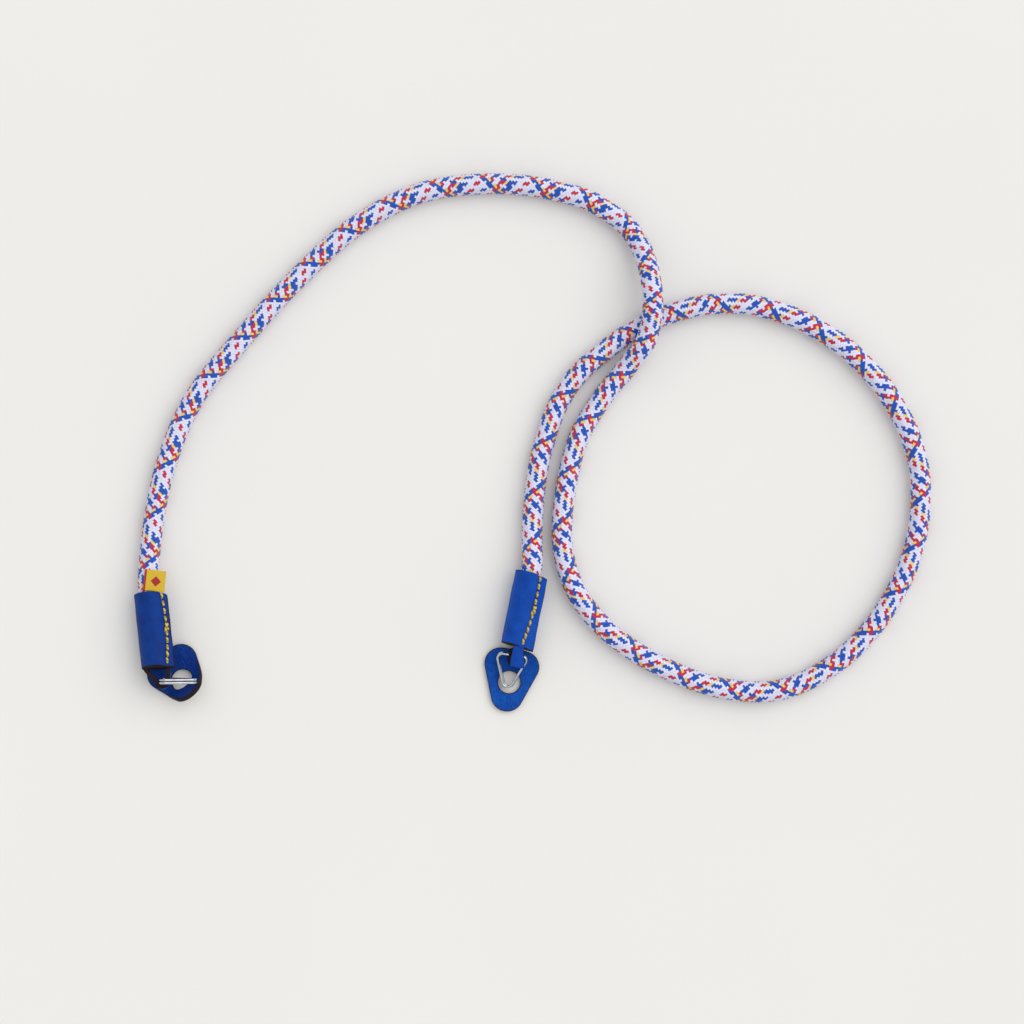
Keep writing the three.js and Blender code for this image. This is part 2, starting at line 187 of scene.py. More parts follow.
class Bench:
    """Small modelling moves that every sub-assembly uses."""

    @staticmethod
    def clear() -> None:
        """Leave nothing selected."""
        if bpy.context.object and bpy.context.object.mode != "OBJECT":
            bpy.ops.object.mode_set(mode="OBJECT")
        bpy.ops.object.select_all(action="DESELECT")

    @staticmethod
    def take(name: str) -> bpy.types.Object:
        """Name the newest primitive and its data.

        Args:
            name: The piece's name.

        Returns:
            The object.
        """
        obj = bpy.context.object
        obj.name = name
        obj.data.name = name
        return obj

    @staticmethod
    def pick(obj: bpy.types.Object) -> None:
        """Select one object alone and make it active."""
        Bench.clear()
        obj.select_set(True)
        bpy.context.view_layer.objects.active = obj

    @staticmethod
    def join(pieces: list[bpy.types.Object]) -> None:
        """Join pieces into the first of them, which stays active.

        Args:
            pieces: The pieces.
        """
        Bench.clear()
        for piece in pieces:
            piece.select_set(True)
        bpy.context.view_layer.objects.active = pieces[0]
        bpy.ops.object.join()

    @staticmethod
    def dress(obj: bpy.types.Object, *materials: bpy.types.Material) -> None:
        """Give a piece its materials, in the order of its slots."""
        for material in materials:
            obj.data.materials.append(material)

    @staticmethod
    def place(obj: bpy.types.Object, where: Matrix) -> None:
        """Put a millimetre mesh in its place on the table, in metres."""
        obj.data.transform(Matrix.Scale(MM, 4) @ where)
        obj.data.update()

    @staticmethod
    def outward(obj: bpy.types.Object) -> None:
        """Merge doubles and turn all faces outwards."""
        Bench.pick(obj)
        bpy.ops.object.mode_set(mode="EDIT")
        bpy.ops.mesh.select_all(action="SELECT")
        bpy.ops.mesh.remove_doubles(threshold=1e-5)
        bpy.ops.mesh.normals_make_consistent(inside=False)
        bpy.ops.object.mode_set(mode="OBJECT")

    @staticmethod
    def apply(obj: bpy.types.Object) -> None:
        """Apply every modifier in order."""
        Bench.pick(obj)
        for modifier in list(obj.modifiers):
            bpy.ops.object.modifier_apply(modifier=modifier.name)

    @staticmethod
    def round_edges(
        obj: bpy.types.Object, width: float, segments: int = 2, angle: float = 38, slot: int = -1
    ) -> None:
        """Round the sharp edges of a mesh.

        Args:
            obj: The object.
            width: Width of the rounding, in the mesh's units.
            segments: Faces across it.
            angle: Edges sharper than this are rounded, in degrees.
            slot: Material slot of the rounding, or -1 for that of the faces beside it.
        """
        bevel = obj.modifiers.new("edges", "BEVEL")
        bevel.material = slot
        bevel.width = width
        bevel.segments = segments
        bevel.limit_method = "ANGLE"
        bevel.angle_limit = math.radians(angle)
        Bench.apply(obj)

    @staticmethod
    def smooth(obj: bpy.types.Object, angle: float = 40) -> None:
        """Shade smooth, apart from edges sharper than the angle."""
        Bench.pick(obj)
        bpy.ops.object.shade_smooth_by_angle(angle=math.radians(angle))

    @staticmethod
    def finish(obj: bpy.types.Object, nodes: list[str], slot: str) -> bpy.types.Object:
        """Tie a finished piece to the strap.

        Args:
            obj: The piece.
            nodes: CAD nodes that it stands for.
            slot: Not used.

        Returns:
            The piece.
        """
        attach(obj, "root")
        if nodes:
            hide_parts(*nodes)
        log.info("%s: %d faces", obj.name, len(obj.data.polygons))
        return obj


class Wiring:
    """Adds and links shader nodes in one tree."""

    def __init__(self, tree: bpy.types.NodeTree) -> None:
        """Keep the tree that is wired."""
        self.tree = tree

    def add(self, kind: str, **settings: object) -> bpy.types.Node:
        """Add one node.

        Args:
            kind: The node's type, without the ShaderNode prefix.
            **settings: Properties to set on it.

        Returns:
            The node.
        """
        node = self.tree.nodes.new(kind if kind.startswith("Node") else f"ShaderNode{kind}")
        for name, value in settings.items():
            setattr(node, name, value)
        return node

    def join(self, source: object, target: Socket) -> None:
        """Link a socket to an input, or set the input to a number."""
        if isinstance(source, Socket):
            self.tree.links.new(source, target)
        else:
            target.default_value = source

    def math(self, operation: str, *values: object) -> Socket:
        """Add a Math node.

        Args:
            operation: Its operation.
            *values: Sockets or numbers for its inputs.

        Returns:
            Its output.
        """
        node = self.add("Math", operation=operation)
        for value, target in zip(values, node.inputs):
            self.join(value, target)
        return node.outputs[0]

    def mix(self, share: object, first: object, second: object, blend: str = "MIX") -> Socket:
        """Mix two colours.

        Args:
            share: How much of the second one, from 0 to 1.
            first: A socket or a colour.
            second: A socket or a colour.
            blend: The mix mode.

        Returns:
            The mixed colour.
        """
        node = self.add("Mix", data_type="RGBA", blend_type=blend)
        self.join(share, node.inputs[0])
        self.join(first, node.inputs[6])
        self.join(second, node.inputs[7])
        return node.outputs[2]

    def noise(self, place: Socket, scale: float, detail: float = 3) -> Socket:
        """Add noise in space.

        Args:
            place: The coordinates it reads.
            scale: Its scale.
            detail: Its octaves.

        Returns:
            The noise value.
        """
        node = self.add("TexNoise")
        self.join(place, node.inputs["Vector"])
        node.inputs["Scale"].default_value = scale
        node.inputs["Detail"].default_value = detail
        return node.outputs[0]

    def uv(self, name: str) -> tuple[Socket, Socket]:
        """Read a UV map.

        Args:
            name: The map's name.

        Returns:
            Its first and second coordinates.
        """
        split = self.add("SeparateXYZ")
        self.join(self.add("UVMap", uv_map=name).outputs[0], split.inputs[0])
        return split.outputs[0], split.outputs[1]

    def stretch(self, value: Socket, low: float, high: float) -> Socket:
        """Stretch a value, clamped, so that it runs from 0 to 1.

        Args:
            value: The value.
            low: What becomes 0.
            high: What becomes 1.

        Returns:
            The stretched value.
        """
        node = self.add("MapRange")
        self.join(value, node.inputs[0])
        node.inputs[1].default_value = low
        node.inputs[2].default_value = high
        return node.outputs[0]

    def bump(self, shader: bpy.types.Node, height: Socket, strength: float, distance: float) -> None:
        """Make a surface look raised where a height is large.

        Args:
            shader: The material's shader.
            height: The height.
            strength: How strongly it shows, from 0 to 1.
            distance: How high a height of 1 is, in metres.
        """
        node = self.add("Bump")
        node.inputs["Strength"].default_value = strength
        node.inputs["Distance"].default_value = distance
        self.join(height, node.inputs["Height"])
        self.join(node.outputs[0], shader.inputs["Normal"])

    def chart(self, position: Socket, colours: list[tuple]) -> Socket:
        """Pick one of a row of colours by position from 0 to 1.

        Args:
            position: The position along the row.
            colours: The row of colours.

        Returns:
            The picked colour.
        """
        node = self.add("ValToRGB")
        ramp = node.color_ramp
        ramp.interpolation = "CONSTANT"
        while len(ramp.elements) < len(colours):
            ramp.elements.new(1.0)
        for index, (stop, colour) in enumerate(zip(ramp.elements, colours)):
            stop.position = index / len(colours)
            stop.color = colour
        self.join(position, node.inputs[0])
        return node.outputs[0]


def new_group(
    name: str, inputs: dict[str, float | None], outputs: dict[str, str]
) -> tuple[Wiring, bpy.types.Node, bpy.types.Node]:
    """Start a shader node group.

    Args:
        name: The group's name.
        inputs: Its number inputs and their values. A None value makes a vector input.
        outputs: Its outputs and their socket kinds.

    Returns:
        The wiring, the group's input node and its output node.
    """
    tree = bpy.data.node_groups.new(name, "ShaderNodeTree")
    for label, value in inputs.items():
        kind = "NodeSocketVector" if value is None else "NodeSocketFloat"
        socket = tree.interface.new_socket(label, in_out="INPUT", socket_type=kind)
        if value is not None:
            socket.default_value = value
    for label, kind in outputs.items():
        tree.interface.new_socket(label, in_out="OUTPUT", socket_type=kind)
    wiring = Wiring(tree)
    return wiring, wiring.add("NodeGroupInput"), wiring.add("NodeGroupOutput")


def use_group(wiring: Wiring, name: str, **values: object) -> bpy.types.Node:
    """Place a group in a material with its own values.

    Args:
        wiring: The material's wiring.
        name: The group's name.
        **values: Values of its inputs, with _ for a space.

    Returns:
        The group node.
    """
    node = wiring.add("Group", node_tree=bpy.data.node_groups[name])
    for label, value in values.items():
        wiring.join(value, node.inputs[label.replace("_", " ")])
    return node


def new_material(name: str) -> tuple[bpy.types.Material, Wiring, bpy.types.Node]:
    """Start a material.

    Args:
        name: The material's name.

    Returns:
        The material, its wiring and its Principled shader.
    """
    material = bpy.data.materials.new(name)
    material.use_nodes = True
    wiring = Wiring(material.node_tree)
    return material, wiring, material.node_tree.nodes["Principled BSDF"]


class Effects:
    """Shader effects that more than one finish uses."""

    GRAIN = "leather_grain"
    MOTTLE = "soft_mottle"

    @classmethod
    def build(cls) -> None:
        """Make both groups."""
        cls._grain()
        cls._mottle()

    @classmethod
    def _grain(cls) -> None:
        """Pebbled leather: small cells with creases between them."""
        wiring, start, end = new_group(
            cls.GRAIN,
            {"Place": None, "Cell Scale": 1400.0, "Crease": 0.5},
            {"Height": "NodeSocketFloat", "Tone": "NodeSocketFloat"},
        )
        cells = wiring.add("TexVoronoi", feature="DISTANCE_TO_EDGE")
        wiring.join(start.outputs["Place"], cells.inputs["Vector"])
        wiring.join(start.outputs["Cell Scale"], cells.inputs["Scale"])
        pebble = wiring.math("MINIMUM", wiring.math("MULTIPLY", cells.outputs[0], 3.0), 1.0)
        crease = wiring.noise(start.outputs["Place"], 420, 4)
        height = wiring.math("MULTIPLY_ADD", crease, start.outputs["Crease"], pebble)
        wiring.join(height, end.inputs["Height"])
        wiring.join(wiring.noise(start.outputs["Place"], 190, 3), end.inputs["Tone"])

    @classmethod
    def _mottle(cls) -> None:
        """Slow light and dark patches: random tone on cloth, painted reflection on the steel."""
        wiring, start, end = new_group(
            cls.MOTTLE, {"Place": None, "Patch Scale": 60.0}, {"Mask": "NodeSocketFloat"}
        )
        node = wiring.add("TexNoise")
        wiring.join(start.outputs["Place"], node.inputs["Vector"])
        wiring.join(start.outputs["Patch Scale"], node.inputs["Scale"])
        wiring.join(wiring.math("SMOOTH_MAX", node.outputs[0], 0.3, 0.1), end.inputs["Mask"])


@dataclass(frozen=True)
class BraidFinish:
    """Coloured yarns of the round braid, charted for one repeat each way."""

    yarns: dict[str, tuple] = field(default_factory=lambda: {
        "w": linear(237, 238, 255),
        "B": linear(36, 88, 190),
        "R": linear(208, 46, 70),
        "Y": linear(250, 216, 112),
    })
    leftward: str = "wwRRwwBBwwRRYBBB"
    rightward: str = "wwwwwBBYRwwBBwww"
    carriers: int = CARRIERS
    # Colour that the grooves between yarns are darkened towards: painted shade
    groove: tuple = linear(170, 168, 226)
    filaments: float = 5.0
    roughness: float = 0.82
    wander: float = 0.38
    wander_scale: float = 850.0
    ripple: float = 19.0

    def build(self) -> bpy.types.Material:
        """Make the braid's material on the rope's UV map.

        Returns:
            The material.
        """
        material, wiring, shader = new_material("braid")
        share_round, units_along = wiring.uv("lay")
        place = wiring.add("TexCoord").outputs["Object"]
        wander = wiring.noise(place, self.wander_scale, 1)
        drift = wiring.math("MULTIPLY_ADD", wander, self.wander, -self.wander / 2)
        around = wiring.math("MULTIPLY_ADD", share_round, float(self.carriers), drift)
        ripple = wiring.math("SINE", wiring.math("MULTIPLY", wander, self.ripple))
        slip = wiring.math("MULTIPLY", ripple, self.wander / 6)
        along = wiring.math("MULTIPLY_ADD", units_along, float(self.carriers), slip)
        first = wiring.math("SUBTRACT", along, around)
        second = wiring.math("ADD", along, around)
        first_number = wiring.math("FLOOR", wiring.math("ADD", first, 0.5))
        second_number = wiring.math("FLOOR", second)
        turn = wiring.math("FLOORED_MODULO", wiring.math("SUBTRACT", second_number, first_number), 4.0)
        under = wiring.math("COMPARE", turn, 1.5, 0.75)
        first_colour = self._yarn(wiring, first_number, self.leftward)
        second_colour = self._yarn(wiring, second_number, self.rightward)
        colour = wiring.mix(under, first_colour, second_colour)
        first_across = wiring.math("SUBTRACT", first, first_number)
        second_across = wiring.math("SUBTRACT", wiring.math("SUBTRACT", second, second_number), 0.5)
        across = self._either(wiring, under, first_across, second_across)
        first_along = self._lengthwise(wiring, wiring.math("SUBTRACT", second, first_number), 2.0)
        second_along = self._lengthwise(wiring, wiring.math("SUBTRACT", first, second_number), 3.5)
        lengthwise = self._either(wiring, under, first_along, second_along)
        body = self._pillow(wiring, across, lengthwise)
        fuzz = wiring.noise(place, 2600, 2)
        ply = wiring.math("SINE", wiring.math(
            "ADD",
            wiring.math("MULTIPLY", across, self.filaments * 2 * math.pi),
            wiring.math("ADD", wiring.math("MULTIPLY", lengthwise, 2.2), wiring.math("MULTIPLY", fuzz, 5.0)),
        ))
        # Painted shade: the colour darkens towards the groove colour where the yarns dip between each other.
        deep = wiring.math("SUBTRACT", 1.0, wiring.math("MINIMUM", wiring.math("MULTIPLY", body, 2.6), 1.0))
        shaded = wiring.mix(wiring.math("MULTIPLY", deep, 0.34), colour, self.groove, "MULTIPLY")
        mottle = use_group(wiring, Effects.MOTTLE, Place=place, Patch_Scale=900.0)
        tone = wiring.math("MULTIPLY_ADD", mottle.outputs[0], 0.12, 0.97)
        bright = wiring.add("HueSaturation")
        wiring.join(shaded, bright.inputs["Color"])
        # Painted light and shade: the ply lines brighten and darken the colour a little along each yarn.
        wiring.join(wiring.math("ADD", tone, wiring.math("MULTIPLY", ply, 0.035)), bright.inputs["Value"])
        wiring.join(bright.outputs[0], shader.inputs["Base Color"])
        wiring.bump(shader, wiring.math("MULTIPLY_ADD", ply, 0.12, body), 0.55, 0.00035)
        shader.inputs["Roughness"].default_value = self.roughness
        shader.inputs["Sheen Weight"].default_value = 0.25
        shader.inputs["Sheen Roughness"].default_value = 0.5
        shader.inputs["Specular IOR Level"].default_value = 0.3
        return material

    def _yarn(self, wiring: Wiring, number: Socket, chart: str) -> Socket:
        """Pick a yarn's colour by its carrier number.

        Args:
            wiring: The material's wiring.
            number: The carrier's number, counted on without end.
            chart: The chart of one repeat.

        Returns:
            The colour.
        """
        count = float(self.carriers)
        turn = wiring.math("FLOORED_MODULO", wiring.math("ADD", number, 0.5), count)
        return wiring.chart(wiring.math("DIVIDE", turn, count), [self.yarns[key] for key in chart])

    @staticmethod
    def _lengthwise(wiring: Wiring, reach: Socket, shift: float) -> Socket:
        """Wrap a place along a yarn to lie from -2 to 2 about a float's middle."""
        turn = wiring.math("FLOORED_MODULO", wiring.math("ADD", reach, shift), 4.0)
        return wiring.math("SUBTRACT", turn, 2.0)

    @staticmethod
    def _either(wiring: Wiring, share: Socket, first: object, second: object) -> Socket:
        """Blend two numbers by a 0 or 1 share."""
        node = wiring.add("Mix", data_type="FLOAT")
        wiring.join(share, node.inputs[0])
        wiring.join(first, node.inputs[2])
        wiring.join(second, node.inputs[3])
        return node.outputs[0]

    @staticmethod
    def _pillow(wiring: Wiring, across: Socket, along: Socket) -> Socket:
        """Height of one yarn's float: 1 on its crown and 0 round its edge."""
        aside = wiring.math("ABSOLUTE", wiring.math("MULTIPLY", across, 2.0))
        wide = wiring.math("SUBTRACT", 1.0, wiring.math("POWER", aside, 2.4))
        long = wiring.math("SUBTRACT", 1.0, wiring.math("POWER", wiring.math("ABSOLUTE", along), 3.0))
        return wiring.math("MAXIMUM", wiring.math("MULTIPLY", wide, long), 0.0)


@dataclass(frozen=True)
class LeatherFinish:
    """Leather on one side: its colour, how far it varies, its grain and its gloss."""

    name: str
    colour: tuple
    shade: tuple
    cell_scale: float = 1500.0
    crease: float = 0.6
    depth: float = 0.00012
    roughness: float = 0.5
    gloss: float = 0.13

    def lines(self, wiring: Wiring, place: Socket) -> object:
        """Stretch lines in the leather, from 0 to 1: none by default.

        Args:
            wiring: The material's wiring.
            place: Object coordinates.

        Returns:
            A socket or a number.
        """
        return 0.0

    def build(self) -> bpy.types.Material:
        """Make the leather's material.

        Returns:
            The material.
        """
        material, wiring, shader = new_material(self.name)
        place = wiring.add("TexCoord").outputs["Object"]
        grain = use_group(wiring, Effects.GRAIN, Place=place, Cell_Scale=self.cell_scale, Crease=self.crease)
        colour = wiring.mix(wiring.stretch(grain.outputs["Tone"], 0.24, 0.76), self.shade, self.colour)
        lines = self.lines(wiring, place)
        # Painted shade: the pits between the grain's cells and the sunk stretch lines darken the colour
        # towards the shade colour.
        pit = wiring.math("SUBTRACT", 1.0, wiring.math("MULTIPLY", grain.outputs["Height"], 0.7))
        crease_shade = wiring.math("ADD", wiring.math("MULTIPLY", pit, 0.35), wiring.math("MULTIPLY", lines, 0.7))
        crease_shaded_colour = wiring.mix(crease_shade, colour, self.shade)
        wiring.join(crease_shaded_colour, shader.inputs["Base Color"])
        gloss = wiring.math("MULTIPLY_ADD", grain.outputs["Tone"], 0.25, self.roughness - 0.12)
        wiring.join(gloss, shader.inputs["Roughness"])
        height = wiring.math("SUBTRACT", grain.outputs["Height"], wiring.math("MULTIPLY", lines, 2.0))
        wiring.bump(shader, height, 0.6, self.depth)
        shader.inputs["Specular IOR Level"].default_value = self.gloss
        return material


@dataclass(frozen=True)
class PadFinish(LeatherFinish):
    """Pad leather, with fine stretch lines that run out from its hole."""

    side: Side = Side.LEFT
    cell_scale: float = 2100.0
    crease: float = 0.8
    depth: float = 0.0002

    def lines(self, wiring: Wiring, place: Socket) -> object:
        """Lines that run out from the hole, broken by the grain.

        Args:
            wiring: The material's wiring.
            place: Object coordinates.

        Returns:
            How deep the lines are, from 0 to 1.
        """
        shift = wiring.add("VectorMath", operation="SUBTRACT")
        wiring.join(place, shift.inputs[0])
        shift.inputs[1].default_value = pad_hole(self.side) * MM
        ray = wiring.add("VectorMath", operation="NORMALIZE")
        wiring.join(shift.outputs[0], ray.inputs[0])
        warp = wiring.noise(place, 420, 2)
        bent = wiring.add("VectorMath", operation="SCALE")
        wiring.join(ray.outputs[0], bent.inputs[0])
        wiring.join(wiring.math("MULTIPLY_ADD", warp, 0.5, 0.75), bent.inputs["Scale"])
        return wiring.stretch(wiring.noise(bent.outputs[0], 12, 4), 0.46, 0.66)


@dataclass(frozen=True)
class SteelFinish:
    """Bright spring steel wire with fine drawing marks."""

    colour: tuple = linear(214, 216, 220)
    roughness: float = 0.16

    def build(self) -> bpy.types.Material:
        """Make the wire's material.

        Returns:
            The material.
        """
        material, wiring, shader = new_material("ring_steel")
        place = wiring.add("TexCoord").outputs["Object"]
        marks = wiring.noise(place, 2200, 4)
        # Painted reflection: slow darker grey patches stand in for the dark surroundings mirrored in the
        # steel.
        mottle = use_group(wiring, Effects.MOTTLE, Place=place, Patch_Scale=350.0)
        reflection_tint = wiring.mix(mottle.outputs[0], linear(168, 170, 176), self.colour)
        wiring.join(reflection_tint, shader.inputs["Base Color"])
        gloss = wiring.math("MULTIPLY_ADD", marks, 0.16, self.roughness - 0.06)
        wiring.join(gloss, shader.inputs["Roughness"])
        wiring.bump(shader, marks, 0.12, 0.00003)
        shader.inputs["Metallic"].default_value = 1.0
        return material


@dataclass(frozen=True)
class ThreadFinish:
    """Thick twisted sewing thread."""

    name: str = "yellow_thread"
    colour: tuple = linear(226, 198, 52)
    shade: tuple = linear(142, 112, 22)

    def build(self) -> bpy.types.Material:
        """Make the thread's material.

        Returns:
            The material.
        """
        material, wiring, shader = new_material(self.name)
        place = wiring.add("TexCoord").outputs["Object"]
        wave = wiring.add("TexWave", wave_type="BANDS", bands_direction="DIAGONAL")
        wiring.join(place, wave.inputs["Vector"])
        wave.inputs["Scale"].default_value = 420.0
        wave.inputs["Distortion"].default_value = 2.0
        # Painted shade: the diagonal bands darken the thread towards its shade colour in the grooves of the
        # twist.
        wiring.join(wiring.mix(wave.outputs[1], self.shade, self.colour), shader.inputs["Base Color"])
        wiring.bump(shader, wave.outputs[1], 0.5, 0.00012)
        shader.inputs["Roughness"].default_value = 0.7
        shader.inputs["Sheen Weight"].default_value = 0.2
        return material


@dataclass(frozen=True)
class TagFinish:
    """Woven tag: fine ribs, with a plain stripe along its edge and a lozenge."""

    ground: tuple = linear(226, 188, 44)
    stripe: tuple = linear(172, 24, 36)
    ribs: float = 26.0

    def build(self) -> bpy.types.Material:
        """Make the tag's material on its UV map.

        Returns:
            The material.
        """
        material, wiring, shader = new_material("woven_tag")
        across, along = wiring.uv("cloth")
        warp = wiring.math("SINE", wiring.math("MULTIPLY", across, self.ribs * 2 * math.pi))
        weft = wiring.math("SINE", wiring.math("MULTIPLY", along, self.ribs * 4 * math.pi))
        weave = wiring.math("MULTIPLY", warp, weft)
        edge = wiring.math("LESS_THAN", across, 0.09)
        reach = wiring.math("ABSOLUTE", wiring.math("SUBTRACT", across, 0.55))
        rise = wiring.math("ABSOLUTE", wiring.math("SUBTRACT", along, 0.5))
        lozenge = wiring.math("LESS_THAN", wiring.math("ADD", reach, rise), 0.25)
        marks = wiring.math("MAXIMUM", edge, lozenge)
        colour = wiring.mix(marks, self.ground, self.stripe)
        place = wiring.add("TexCoord").outputs["Object"]
        mottle = use_group(wiring, Effects.MOTTLE, Place=place, Patch_Scale=500.0)
        # Painted shade between the weave's ribs, plus random darker tone from the mottle.
        shade = wiring.mix(
            wiring.math("MULTIPLY_ADD", weave, 0.12, wiring.math("MULTIPLY", mottle.outputs[0], 0.16)),
            colour, linear(150, 112, 30),
        )
        wiring.join(shade, shader.inputs["Base Color"])
        wiring.bump(shader, weave, 0.5, 0.00012)
        shader.inputs["Roughness"].default_value = 0.85
        shader.inputs["Sheen Weight"].default_value = 0.2
        return material


@dataclass(frozen=True)
class TableFinish:
    """Pale smooth table top."""

    colour: tuple = linear(237, 236, 230)

    def build(self) -> bpy.types.Material:
        """Make the table's material.

        Returns:
            The material.
        """
        material, wiring, shader = new_material("pale_table")
        place = wiring.add("TexCoord").outputs["Object"]
        tone = wiring.noise(place, 6, 3)
        wiring.join(wiring.mix(tone, self.colour, linear(233, 231, 226)), shader.inputs["Base Color"])
        shader.inputs["Roughness"].default_value = 0.7
        return material


class Finishes:
    """All materials of the strap, each built once."""

    def __init__(self) -> None:
        """Build the shared effects and then the materials."""
        Effects.build()
        self.braid = BraidFinish().build()
        # Both ends are one leather. The left end's copy is darker: painted shade over the left end.
        self.hides = {
            Side.LEFT: LeatherFinish("left_blue_leather_shaded", linear(7, 61, 148), linear(2, 43, 114)).build(),
            Side.RIGHT: LeatherFinish("right_blue_leather", linear(10, 82, 186), linear(4, 60, 150)).build(),
        }
        # The left pad's copy is darker too: painted shade over the left end.
        self.pad_hides = {
            side: PadFinish(f"{side.value}_pad_blue", colour, shade, side=side).build()
            for side, colour, shade in (
                (Side.LEFT, linear(12, 68, 160), linear(2, 42, 120)),
                (Side.RIGHT, linear(14, 96, 194), linear(6, 62, 152)),
            )
        }
        self.flesh = LeatherFinish(
            "flesh_side", linear(82, 58, 48), linear(46, 34, 32),
            cell_scale=3200.0, crease=1.2, depth=0.0002, roughness=0.9,
        ).build()
        self.edge = LeatherFinish(
            "cut_edge", linear(52, 38, 36), linear(26, 20, 22),
            cell_scale=2600.0, crease=0.8, depth=0.0001, roughness=0.75,
        ).build()
        self.steel = SteelFinish().build()
        self.thread = ThreadFinish().build()
        self.tag = TagFinish().build()
        self.table = TableFinish().build()


@dataclass
class Viewpoint:
    """The camera, straight above the table."""

    aim: tuple[float, float] = (0.0676, 0.0508)
    distance: float = 1.4
    frame_width: float = 0.4035
    sensor: float = 36.0

    def build(self) -> None:
        """Make the camera and set it as the scene's."""
        data = bpy.data.cameras.new("view")
        data.sensor_width = self.sensor
        data.lens = self.sensor * self.distance / self.frame_width
        data.clip_start = 0.05
        data.clip_end = 20
        camera = bpy.data.objects.new("view", data)
        camera.location = (*self.aim, self.distance)
        bpy.context.scene.collection.objects.link(camera)
        bpy.context.scene.camera = camera


@dataclass(frozen=True)
class LayMark:
    """Where the braid's lone red zigzag lies along the rope and round it."""

    distance: float
    repeats: float
    turned: float


